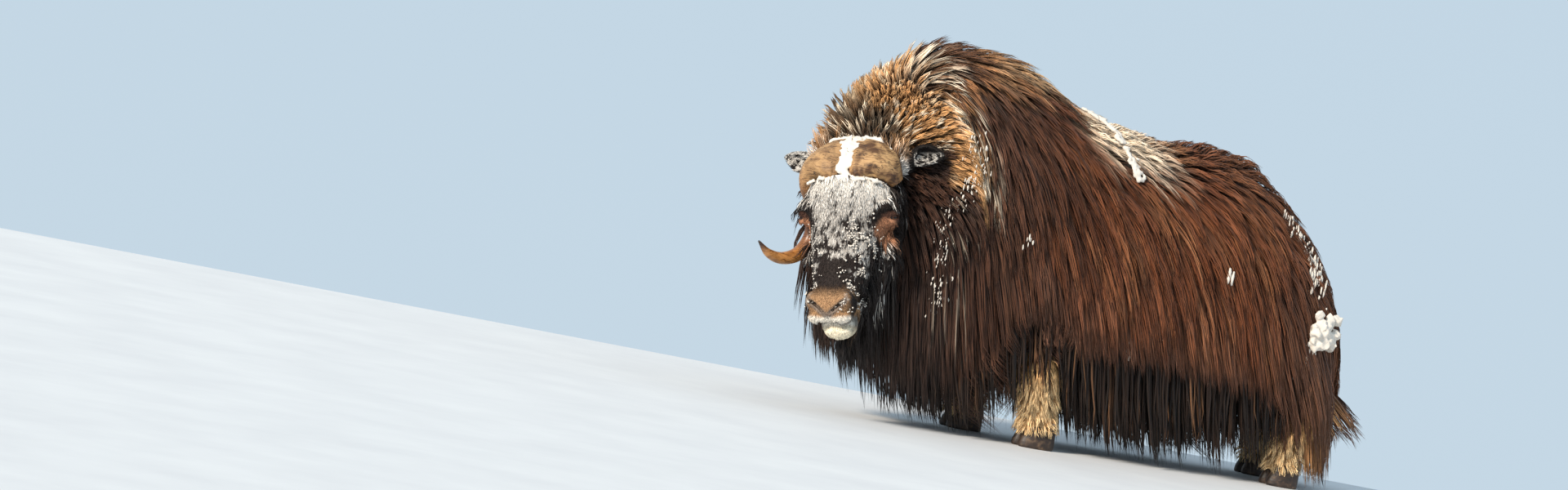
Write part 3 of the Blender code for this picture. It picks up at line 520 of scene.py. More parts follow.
class Skin:
    def __init__(self, obj):
        mesh = obj.data
        mesh.calc_loop_triangles()
        self.points = read_rows(mesh.vertices, "co")
        self.normals = read_rows(mesh.vertices, "normal")
        self.triangles = read_rows(mesh.loop_triangles, "vertices", np.int32)
        self.tree = tree_of([obj])

    def scatter(self, count, density):
        """Random roots, with their normals, as thick on the skin as density says."""
        corners = self.points[self.triangles]
        sides = np.cross(corners[:, 1] - corners[:, 0], corners[:, 2] - corners[:, 0])
        middles = corners.mean(axis=1)
        normals = self.normals[self.triangles].mean(axis=1)
        weight = np.linalg.norm(sides, axis=1) * np.clip(density(middles, normals), 0, None)
        steps = np.cumsum(weight)
        spread = (np.arange(count) + rng.random(count)) / count * steps[-1]
        chosen = np.searchsorted(steps, spread).clip(0, len(steps) - 1)
        a, b = rng.random((2, count))
        a, b = np.where(a + b > 1, 1 - a, a), np.where(a + b > 1, 1 - b, b)
        shares = np.stack([1 - a - b, a, b], axis=1)[:, :, None]
        roots = (corners[chosen] * shares).sum(axis=1)
        normal = (self.normals[self.triangles[chosen]] * shares).sum(axis=1)
        return roots, unit(normal)


def unit(vectors):
    return vectors / np.maximum(np.linalg.norm(vectors, axis=-1, keepdims=True), 1e-9)


body = Skin(body_skin)
face = Skin(head_skin)
print("triangles to grow on:", len(body.triangles), "and", len(face.triangles))

# %% [markdown]
# Soft steps, a level of the coat from spine to hem, and a smooth random field are the rulers that
# place every marking. The random field is a lattice of numbers blended between its corners, so
# that neighbouring hairs agree and patches have ragged edges.

# %% Rulers for the markings
# The lower edge of the outer coat along the body: x and height.
HEM = (
    (-1.30, 0.20), (-1.20, 0.18), (-1.10, 0.14), (-0.98, 0.08), (-0.90, 0.01), (-0.83, -0.04),
    (-0.77, 0.08), (-0.72, 0.32), (-0.65, 0.41), (-0.55, 0.35), (-0.43, 0.30), (-0.24, 0.31),
    (0.02, 0.29), (0.16, 0.27), (0.24, 0.24), (0.31, 0.08), (0.42, 0.02), (0.80, 0.01),
)
LEG_REACH = 0.075       # a root nearer than this to a leg's middle belongs to the leg
LEG_TOP = 0.31          # where the leg comes out of the trunk's coat


def soft(low, high, value):
    """A soft step: 0 below low, 1 above high."""
    share = np.clip((value - low) / (high - low), 0, 1)
    return share * share * (3 - 2 * share)


def window(value, low, high, edge):
    """1 between low and high, with edges that fade over twice edge."""
    return soft(low - edge, low + edge, value) * (1 - soft(high - edge, high + edge, value))


def along_body(table, x, column):
    return np.interp(x, [row[0] for row in table], [row[column] for row in table])


def level(points):
    """0 on the spine, 1 at the hem."""
    top = along_body(TRUNK, points[:, 0], 1)
    low = along_body(HEM, points[:, 0], 1)
    return np.clip((top - points[:, 2]) / (top - low), 0, 1.2)


def patches(points, size, salt=0):
    """A smooth random field from 0 to 1 whose patches are about that size, in metres."""
    cell = np.floor(points / size).astype(np.int64)
    part = points / size - cell
    part = part * part * (3 - 2 * part)
    total = np.zeros(len(points))
    for corner in range(8):
        step = np.array([corner & 1, corner >> 1 & 1, corner >> 2 & 1])
        key = (cell + step) @ np.array([73856093, 19349663, 83492791]) + salt * 2654435761
        key = (key ^ (key >> 13)) * 1274126177
        value = ((key ^ (key >> 16)) & 0xFFFF) / 65535
        total += value * np.prod(np.where(step, part, 1 - part), axis=1)
    return total


def leg_share(points):
    """1 on the free legs, 0 on the trunk."""
    near = np.full(len(points), np.inf)
    for x, y, kind in LEGS.values():
        profile = FORE_PROFILE if kind == "fore" else HIND_PROFILE
        behind = np.interp(-points[:, 2], [-row[0] for row in profile], [row[1] for row in profile])
        near = np.minimum(near, np.hypot(points[:, 0] - x - behind, points[:, 1] - y))
    return (near < LEG_REACH) & (points[:, 2] < LEG_TOP)


print("level of the belly at the middle:", level(np.array([[0.0, 0.3, 0.3]])))

# %% [markdown]
# Colours are picked as sRGB hex values, as a painter would name them, and turned to the linear
# values that light works with by one function. The names say what each dyes.

# %% The palette
def paint(code):
    values = [int(code[i:i + 2], 16) / 255 for i in (1, 3, 5)]
    return np.array([v / 12.92 if v <= 0.04045 else ((v + 0.055) / 1.055) ** 2.4 for v in values])


DYE = {
    "hump": "#9a6a44", "hump_gold": "#e0bc90",
    # The ruff's darker root colour is painted shade deep in the ruff.
    "ruff": "#d5a069", "ruff_light": "#f6dcb6", "ruff_root_shade": "#5a3a26",
    "saddle": "#ffe8ca", "saddle_edge": "#a87a55", "rime": "#ffecd0",
    "rump": "#4a2817", "rump_tip": "#774c31",
    "flank": "#301a10", "flank_red": "#7b4629", "flank_light": "#a06a45", "flank_low": "#65493a",
    "shoulder": "#2c1b13", "shoulder_tip": "#523526",
    # belly is the hair's dark brown deepened by painted shade under the body; the fringe adds painted light.
    "belly": "#251912", "fringe_tip_and_light": "#8a6040",
    "beard": "#120f0e", "beard_tip": "#2c2421",
    "stocking": "#e2b277", "stocking_light": "#fbdba8", "stocking_dark": "#ab7c4e",
    "skirt": "#8e5e3c", "skirt_light": "#cf9964",
    "face": "#241a16", "cheek": "#2b201b", "frost": "#fff8ee", "muzzle": "#b08862",
    "lip": "#e9e0d2", "chin": "#fff2d6", "tear": "#b57f5e", "ear": "#150f0d",
    "wet": "#1d1512", "nose_grey": "#7b716a", "rime_grey": "#94897f", "lid": "#4a2e22",
}
DYE = {name: paint(code) for name, code in DYE.items()}


def blend(base, name, share):
    """Lays a dye over the colours so far, as thick as share says."""
    return base + (DYE[name] - base) * np.clip(share, 0, 1)[:, None]


print(len(DYE), "dyes")

# %% [markdown]
# The coat's markings: a dark chocolate flank with red-brown tips, a pale saddle behind the hump,
# golden tips on the hump, a tan ruff round the head, its roots darkened as painted shade, that fades
# to dark hair at the throat, cream stockings, a dark belly painted nearly black as painted shade
# under the body, with a lighter fringe that is partly its own brown tips and partly painted light,
# and a paler skirt behind. One function gives the root and tip colour at any place, for the skin
# and for each tuft alike.

# %% Markings of the body
RUFF_CENTRE = np.array(in_head(-0.16, 0.0, 0.12))
RUFF_REACH = 0.39       # of the roots; the hair's tips lie further out
EAR_MIDDLES = [np.array(in_head(-0.105, side * 0.215, 0.178)) for side in (-1, 1)]


def ring_share(points):
    """1 where the coat belongs to the ruff round the head, 0 on the trunk."""
    off = np.linalg.norm(points - RUFF_CENTRE, axis=1)
    return (1 - soft(RUFF_REACH - 0.09, RUFF_REACH, off)) * soft(-0.10, 0.08, to_head(points)[:, 2])


def ear_gap(points):
    """How far each point is from the middle of the nearer ear."""
    return np.min([np.linalg.norm(points - middle, axis=1) for middle in EAR_MIDDLES], axis=0)


def ruff_share(points):
    """How much of the ruff's tan shows: a wide ring behind the head, strongest above."""
    place = to_head(points)
    off = np.linalg.norm(points - RUFF_CENTRE, axis=1) + 0.05 * (patches(points, 0.05, 3) - 0.5)
    reach = 1 - soft(RUFF_REACH - 0.04, RUFF_REACH + 0.03, off)
    above = place[:, 2] + 0.08 * (patches(points, 0.04, 4) - 0.5)
    outer = np.maximum(soft(0.24, 0.28, np.abs(place[:, 1])), soft(0.17, 0.24, above))
    high = soft(0.06, 0.13, above) * outer
    return reach * high * soft(0.05, 0.085, ear_gap(points) + 0.03 * (patches(points, 0.02, 8) - 0.5))


def body_markings(points, normals):
    x, z = points[:, 0], points[:, 2]
    down = level(points)
    rough = patches(points, 0.035, 1)
    broad = patches(points, 0.16, 2)
    base = np.tile(DYE["flank"], (len(points), 1))
    tip = np.tile(DYE["flank_red"], (len(points), 1))
    tip = blend(tip, "flank_light", 0.75 * soft(0.40, 0.90, rough) * window(down, 0.20, 0.62, 0.08))
    front = 1 - soft(-0.86, -0.52, x + 0.10 * (broad - 0.5))
    base, tip = blend(base, "shoulder", front), blend(tip, "shoulder_tip", front * 0.9)
    low = soft(0.46, 0.78, down + 0.12 * (rough - 0.5))
    tip = blend(tip, "flank_low", 0.75 * np.maximum(low, soft(0.05, 0.30, x) * soft(0.12, 0.3, down)))
    # The hump, with gold on the tips that sweep back from it.
    hump = (1 - soft(-0.62, -0.48, x)) * (1 - soft(0.03, 0.11, down + 0.04 * (rough - 0.5)))
    base, tip = blend(base, "hump", hump), blend(tip, "hump", hump)
    gold = hump * soft(-1.00, -0.75, x) * soft(0.22, 0.60, rough)
    tip = blend(tip, "hump_gold", gold)
    # The rump darkens from a brown back.
    rump = soft(-0.12, 0.02, x) * (1 - soft(0.10, 0.30, down))
    base, tip = blend(base, "rump", rump), blend(tip, "rump_tip", rump)
    # The saddle.
    length = soft(-0.65, -0.53, x + 0.06 * (rough - 0.5)) * (1 - soft(-0.32, -0.16, x))
    saddle = length * (1 - soft(0.09, 0.20, down + 0.07 * (rough - 0.5)))
    edge = soft(-0.68, -0.58, x) * (1 - soft(-0.20, -0.06, x)) * (1 - soft(0.05, 0.15, down))
    base, tip = blend(base, "saddle_edge", edge * 0.8), blend(tip, "saddle_edge", edge * 0.8)
    base, tip = blend(base, "saddle", saddle), blend(tip, "saddle", saddle)
    # The skirt behind.
    skirt = soft(0.30, 0.44, x) * soft(0.30, 0.60, down)
    base, tip = blend(base, "skirt", skirt * 0.9), blend(tip, "skirt_light", skirt * (0.4 + 0.5 * rough))
    # The ruff: tan tips over roots darkened as painted shade.
    ruff = ruff_share(points)
    base, tip = blend(base, "ruff_root_shade", ruff * 0.4), blend(tip, "ruff", ruff)
    tip = blend(tip, "ruff_light", ruff * soft(0.55, 0.85, patches(points, 0.03, 5)) * 0.8)
    # A dark tuft on top, where the ruff meets the hump.
    tuft = window(x, -1.10, -0.97, 0.02) * (1 - soft(0.03, 0.07, down)) * (np.abs(points[:, 1]) < 0.13)
    base, tip = blend(base, "shoulder", tuft * 0.8), blend(tip, "shoulder_tip", tuft * 0.8)
    # Dark hair round the ears, and a dark forelock with rimed tips above the bosses.
    dark = 1 - soft(0.05, 0.085, ear_gap(points))
    base, tip = blend(base, "ear", dark * 0.9), blend(tip, "beard_tip", dark * 0.9)
    _, aside, above = to_head(points).T
    lock = (1 - soft(0.07, 0.14, np.abs(aside + 0.01) + 0.06 * (rough - 0.5)))
    lock = lock * (1 - soft(0.30, 0.36, above + 0.05 * (rough - 0.5)))
    lock = lock * ring_share(points) * (above > 0.08)
    base, tip = blend(base, "beard", lock * 0.95), blend(tip, "beard_tip", lock * 0.85)
    around = soft(0.18, 0.22, above) * (1 - soft(0.32, 0.37, above)) * ring_share(points)
    tip = blend(tip, "rime", around * soft(0.66, 0.74, patches(points, 0.020, 12)) * 0.9)
    # Rime clings to the ruff's edge and to the dark hair below the ear.
    off = np.linalg.norm(points - RUFF_CENTRE, axis=1)
    edge = window(off, RUFF_REACH - 0.06, RUFF_REACH + 0.02, 0.03) * soft(0.02, 0.10, above)
    tip = blend(tip, "rime", edge * soft(0.48, 0.60, patches(points, 0.028, 13)) * 0.9)
    line = window(np.abs(aside), 0.23, 0.32, 0.02) * window(above, -0.10, 0.08, 0.04)
    tip = blend(tip, "rime", line * (x < -0.8) * soft(0.72, 0.80, patches(points, 0.014, 14)) * 0.55)
    # Beside the face, below the ruff, the hair is dark.
    beside = (1 - soft(0.30, 0.40, off)) * (1 - ruff) * (1 - soft(0.10, 0.20, above))
    base, tip = blend(base, "beard", beside * 0.5), blend(tip, "shoulder", beside * 0.5)
    # Throat, belly and legs.
    throat = (1 - soft(-0.98, -0.84, x)) * (1 - soft(0.45, 0.75, z)) * 0.7
    base, tip = blend(base, "beard", throat), blend(tip, "beard_tip", throat)
    # Skin and hair that face down get the belly's near-black: dark hair deepened by painted shade under the
    # body.
    under = soft(0.35, 0.70, -normals[:, 2]) * (z < 0.55)
    base, tip = blend(base, "belly", under), blend(tip, "belly", under * 0.9)
    leg = leg_share(points).astype(float)
    dark = soft(0.20, 0.34, z + 0.06 * (rough - 0.5)) * (x < 0) + soft(0.14, 0.26, z) * (x > 0)
    base = blend(base, "stocking", leg)
    tip = blend(tip, "stocking_light", leg)
    base, tip = blend(base, "stocking_dark", leg * dark), blend(tip, "stocking", leg * dark)
    return base, tip


print("the ruff starts", RUFF_REACH, "m round", [round(float(c), 3) for c in RUFF_CENTRE])

# %% [markdown]
# The face is dark brown, but this animal has rime on it: the hair between the bosses and the
# nose is frosted white in ragged flecks, with dark gaps round the eyes and a dark band above the
# nose. The nose is tan, the lips and chin cream, and a brown tear patch lies under each eye.

# %% Markings of the head
def head_markings(points, normals):
    place = to_head(points)
    ahead, aside, above = place.T
    wide = np.abs(aside)
    fine = patches(points, 0.007, 6)
    rough = patches(points, 0.022, 7)
    base = np.tile(DYE["cheek"], (len(points), 1))
    tip = np.tile(DYE["face"], (len(points), 1))
    facing = normals @ HEAD_AXES[:, 0]
    front = soft(0.10, 0.45, facing)
    # Rime on the forehead and the face.
    reach = window(above, -0.160, 0.22, 0.025)
    eyes = np.hypot(np.abs(wide - 0.150) * 0.9, above + 0.02)
    thick = reach * front * (0.62 + 0.38 * soft(-0.10, 0.05, above)) * soft(0.030, 0.070, eyes)
    flecks = soft(0.54, 0.72, 0.55 * fine + 0.45 * rough + 0.60 * (thick - 0.48))
    rime = np.clip(flecks * (thick > 0.02), 0, 1)
    side_flecks = soft(0.58, 0.66, 0.6 * fine + 0.4 * rough)
    side_flecks = side_flecks * np.maximum(window(above, -0.31, -0.08, 0.03), window(above, 0.02, 0.12, 0.02))
    side_flecks = side_flecks * soft(-0.05, 0.25, facing) * soft(0.045, 0.07, wide)
    base = blend(base, "rime_grey", 0.75 * rime)
    base = blend(base, "frost", 0.8 * rime * soft(0.02, 0.09, above))
    tip = blend(tip, "frost", np.clip(rime + 0.9 * side_flecks, 0, 1))
    grey = soft(0.35, 0.75, patches(points, 0.010, 15)) * rime * (0.04 + 0.6 * (1 - soft(-0.08, 0.05, above)))
    tip = blend(tip, "rime_grey", grey)
    # The tear patch under each eye.
    lids = (1 - soft(0.016, 0.026, np.hypot((wide - 0.150) * 0.8, above + 0.02))) * (ahead > 0.0)
    base, tip = blend(base, "lid", lids), blend(tip, "lid", lids)
    tear = 1 - soft(0.024, 0.038, np.hypot(wide - 0.140, (above + 0.058) * 0.85))
    tear = tear * (ahead > 0.0)
    base, tip = blend(base, "tear", tear), blend(tip, "tear", tear)
    # Muzzle, lips and chin.
    nose = (1 - soft(-0.290, -0.238, above + 0.012 * (fine - 0.5))) * soft(-0.42, -0.36, above)
    nose = nose * (ahead > 0.12) * (1 - soft(0.058, 0.082, wide + 0.01 * (fine - 0.5)))
    base, tip = blend(base, "muzzle", nose), blend(tip, "muzzle", nose)
    slope = -0.336 + 0.82 * (wide - 0.008)
    wings = (1 - soft(0.006, 0.020, np.abs(above - slope))) * (ahead > 0.18) * (1 - soft(0.060, 0.075, wide))
    base, tip = blend(base, "nose_grey", wings * 0.8), blend(tip, "nose_grey", wings * 0.8)
    lip = window(above, -0.374, -0.345 + 0.10 * np.clip(wide - 0.02, 0, 0.04), 0.007)
    lip = lip * (ahead > 0.13) * (1 - soft(0.070, 0.086, wide))
    base, tip = blend(base, "lip", lip), blend(tip, "lip", lip)
    chin = window(above, -0.450, -0.374, 0.008) * (ahead > 0.140)
    chin = chin * (1 - soft(0.044, 0.062, np.abs(aside - 0.012)))
    base, tip = blend(base, "chin", chin), blend(tip, "chin", chin)
    # The poll carries the ruff's tan over roots darkened as painted shade, with a dark centre above the
    # bosses.
    poll = soft(0.14, 0.19, above) * (1 - soft(-0.02, 0.03, ahead))
    centre = poll * (1 - soft(0.06, 0.13, wide + 0.03 * (rough - 0.5)))
    base, tip = blend(base, "ruff_root_shade", poll), blend(tip, "ruff", poll * 0.8)
    base, tip = blend(base, "beard", centre), blend(tip, "beard_tip", centre * 0.95)
    tip = blend(tip, "rime", poll * soft(0.62, 0.70, rough) * 0.9)
    # The ears.
    ear = soft(0.150, 0.170, wide) * (above > 0.09) * (ahead < -0.03)
    base, tip = blend(base, "ear", ear), blend(tip, "ear", ear)
    inner = (1 - soft(0.182, 0.200, above)) * (wide > 0.180)
    cup = np.maximum(soft(0.35, 0.6, facing) * inner, 0.9 * (aside < 0) * (wide > 0.175))
    tip = blend(tip, "frost", ear * cup * soft(0.42, 0.52, fine))
    beard = (1 - soft(-0.20, -0.05, above)) * (1 - front) * (1 - chin)
    base, tip = blend(base, "beard", beard * 0.7), blend(tip, "beard_tip", beard * 0.7)
    return base, tip


brow = np.array([in_head(0.13, 0.0, 0.05)])
print("the brow's hair ends in", head_markings(brow, HEAD_AXES[None, :, 0])[1][0].round(3))

# %% [markdown]
# Hair lies where the skin sends it and then falls. On the spine it streams back, down the flank
# it turns to hang a little aft of straight down, round the head it stands away as a ruff, and on
# the face it runs from the brow to the nose. Each function gives that direction for many roots.

# %% The lie of the coat
DOWN = np.array([0.0, 0.0, -1.0])
BACK = np.array([1.0, 0.0, 0.0])
LEAN = ((0.0, 2.4), (0.13, 1.45), (0.32, 1.00), (0.52, 0.68), (0.76, 0.42), (1.2, 0.30))
NAPE = np.array(NAPE)


def tangent(vectors, normals, keep=0.0):
    """Turns directions to lie along the skin, keeping a share of what stands off it."""
    off = (vectors * normals).sum(axis=1, keepdims=True)
    return unit(vectors - normals * off * (1 - keep))


def body_lie(points, normals):
    x, y = points[:, 0], points[:, 1]
    down = level(points)
    lean = np.interp(down, [row[0] for row in LEAN], [row[1] for row in LEAN])
    lean = lean * (0.30 + 0.70 * soft(-1.0, -0.55, x)) * (1 - 0.7 * soft(0.30, 0.55, x))
    fall = soft(-0.02, 0.16, down) * 0.9 + 0.1
    drape = np.sign(y) * soft(0.0, 0.12, np.abs(y)) * (1 - soft(0.05, 0.3, down)) * 0.6
    way = BACK * lean[:, None] + DOWN * fall[:, None]
    way[:, 1] += drape
    # Round the head the hair stands away from the face.
    from_head = points - RUFF_CENTRE
    radial = from_head - NAPE * (from_head @ NAPE)[:, None]
    ring = ring_share(points)
    away = unit(radial) * 0.9 - NAPE * 0.55 + DOWN * 0.20
    way = way * (1 - ring[:, None]) + away * ring[:, None]
    way = np.where(leg_share(points)[:, None], DOWN + 0.15 * BACK, way)
    return tangent(way, normals)


def temple_share(ahead, wide, above):
    """1 on the temple, whose hair hangs over the root of the horn."""
    temple = soft(0.100, 0.120, wide) * window(above, -0.13, 0.11, 0.03) * window(ahead, -0.06, 0.06, 0.02)
    return temple * soft(0.032, 0.050, np.hypot(ahead - 0.055, above + 0.02))


def head_lie(points, normals):
    place = to_head(points)
    ahead, aside, above = place.T
    wide = np.abs(aside)
    facing = normals @ HEAD_AXES[:, 0]
    way = np.tile(np.array([0.35, 0.0, -1.0]), (len(points), 1))
    way[:, 1] = np.sign(aside) * 0.5 * soft(0.03, 0.14, wide)
    # Cheeks sweep back and down, the crown sweeps up and back.
    cheek = (1 - soft(-0.1, 0.45, facing))[:, None]
    way = way * (1 - cheek) + np.array([-0.55, 0.0, -1.0]) * cheek
    crown = (soft(0.10, 0.17, above) * (1 - soft(0.0, 0.06, ahead)))[:, None]
    upward = np.stack([0.15 + 0 * ahead, aside * 3.0, 1.0 + 0 * ahead], axis=1)
    way = way * (1 - crown) + upward * crown
    temple = temple_share(ahead, wide, above)[:, None]
    over = np.stack([0.35 + 0 * ahead, np.sign(aside) * 0.8, -0.75 + 0 * ahead], axis=1)
    way = way * (1 - temple) + over * temple
    ear = ((wide > 0.155) & (above > 0.09) & (ahead < -0.03))[:, None]
    outward = np.stack([-0.1 + 0 * ahead, np.sign(aside), 0.1 + 0 * ahead], axis=1)
    way = np.where(ear, outward, way)
    return tangent(way @ HEAD_AXES.T, normals)


flank = body_lie(np.array([[-0.2, -0.34, 0.7]]), np.array([[0.0, -1.0, 0.0]]))[0]
print("on the flank the hair runs along", [round(float(c), 2) for c in flank])

# %% [markdown]
# Some twelve thousand guide hairs are combed step by step: each step follows the lie, gives way to
# its own weight, and is held off the skin, the horns and the eyes. Many finer tufts then copy the
# nearest guide and draw together at its tip, which makes the locks that long hair falls into.
# Real hair strands would be lost on export, so every tuft is a closed tapering solid.

# %% Guide hairs
STEPS = 8
FALL_LEAN = unit(np.array([0.26, 0.0, -1.0]))
HARD_CLEAR = 0.006      # combed hair keeps this far off horns and eyes


def comb(skin, roots, normals, lie, length, stand, weight, depth, cling, clear=None, floor=None):
    """Paths of guide hairs, one row of points each.

    stand is how far a hair starts off the skin, weight how soon it gives way to its own weight,
    depth how far over the skin it comes to lie, and cling how strongly it is drawn back to it.
    """
    paths = np.empty((len(roots), STEPS + 1, 3))
    fall = Vector(FALL_LEAN)
    for k in range(len(roots)):
        point, normal = Vector(roots[k]), Vector(normals[k])
        way = (Vector(lie[k]) * (1 - stand[k]) + normal * stand[k]).normalized()
        paths[k, 0] = point
        lowest = FLOOR_CLEAR if floor is None else max(FLOOR_CLEAR, floor[k])
        for step in range(1, STEPS + 1):
            share = step / STEPS
            pull = min(1.0, weight[k] * share * 1.3)
            onward = (way * (1 - pull) + fall * pull).normalized()
            point = point + onward * (length[k] / STEPS)
            near, out, _, _ = skin.tree.find_nearest(point)
            height = (point - near).dot(out)
            rest = depth[k] * min(1.0, share * 2.2)
            if height < rest and (point - near).length < 0.2:
                point = near + out * rest
            elif height > rest and out.z > -0.35:
                point = point - out * ((height - rest) * cling[k])
            if clear is not None:
                near, out, _, gap = clear.find_nearest(point)
                inside = (point - near).dot(out) < 0 and gap < 0.06
                if inside or gap < HARD_CLEAR:
                    point = near + out * HARD_CLEAR
            point.z = max(point.z, lowest * min(1.0, share * 1.2))
            paths[k, step] = point
    return paths


print("a guide hair has", STEPS + 1, "points")

# %% [markdown]
# The unwrap: the body is rolled out round its length and the head round its height, like labels
# from a tin, with a strip for each leg. A tuft's own patch is tiny and sits at its root's place.

# %% The unwrap of the skin
PATCH = 0.003


def roll_out(points, chart, middle_angle=None):
    """UV of points in a chart: 0 the body, 1 the head, 2 to 5 the legs."""
    start, height = 0.02, 0.96
    if chart == 0:
        angle = np.arctan2(points[:, 1], points[:, 2] - 0.72)
        along = 0.02 + 0.54 * (points[:, 0] + 1.35) / 2.15
    elif chart == 1:
        place = to_head(points)
        angle = np.arctan2(place[:, 1], place[:, 0] + 0.03)
        along = 0.70 + 0.28 * (place[:, 2] + 0.46) / 0.76
    else:
        x, y, _ = list(LEGS.values())[chart - 2]
        angle = np.arctan2(points[:, 1] - y, points[:, 0] - x)
        along = 0.60 + 0.08 * points[:, 2] / 0.45
        start, height = 0.02 + 0.24 * (chart - 2), 0.22
    if middle_angle is not None:
        angle = middle_angle + (angle - middle_angle + math.pi) % (2 * math.pi) - math.pi
    uv = np.stack([along, start + height * (angle / (2 * math.pi) + 0.5)], axis=1)
    return uv, angle


def chart_of(points, head):
    """The number of the chart that each point falls in."""
    chart = np.full(len(points), 1 if head else 0)
    if not head:
        on_leg = leg_share(points)
        places = np.array([[x, y] for x, y, _ in LEGS.values()])
        nearest = np.linalg.norm(points[:, None, :2] - places[None], axis=2).argmin(axis=1)
        chart = np.where(on_leg, 2 + nearest, chart)
    return chart


def root_uv(points, head):
    chart = chart_of(points, head)
    uv = np.empty((len(points), 2))
    for number in np.unique(chart):
        here = chart == number
        uv[here] = roll_out(points[here], number)[0]
    return uv


print("the hump's patch lies at", root_uv(np.array([[-0.88, 0.0, 1.24]]), False)[0].round(3))

# %% [markdown]
# A tuft is a strip of three-sided rings that tapers to a point: flat, with a low ridge, a few
# millimetres wide. All tufts of a kind are made at once as arrays. Their colour is kept in a
# colour attribute, and another attribute counts across and along the tuft for the fine streaks.

# %% Tufts as joined meshes
TRIANGLE_LIMIT = 195000
coat_pieces = []
coat_triangles = 0


def nearest_guide(roots, guides):
    tree = kdtree.KDTree(len(guides))
    for i, start in enumerate(guides[:, 0]):
        tree.insert(start, i)
    tree.balance()
    return np.array([tree.find(root)[1] for root in roots])


def tuft_paths(roots, normals, guides, chosen, shares, scale, draw, frizz, sink):
    """Ring centres of the tufts: the guide's path, drawn together towards its tip."""
    offset = roots - guides[chosen, 0]
    count = len(roots)
    phase = rng.random((count, 2)) * 2 * math.pi
    wave = rng.normal(size=(count, 2, 3))
    rows = []
    for share in shares:
        at = share * scale * STEPS
        low = np.minimum(at.astype(int), STEPS - 1)
        part = (at - low)[:, None]
        path = guides[chosen, low] * (1 - part) + guides[chosen, low + 1] * part
        keep = 1 - draw * share ** 1.3
        sway = wave[:, 0] * np.sin(phase[:, 0] + 5.0 * share)[:, None]
        sway += wave[:, 1] * np.sin(phase[:, 1] + 9.0 * share)[:, None] * 0.6
        rows.append(path + offset * keep[:, None] + sway * (frizz * share)[:, None])
    rows[0] = roots - normals * sink
    return np.stack(rows, axis=1)


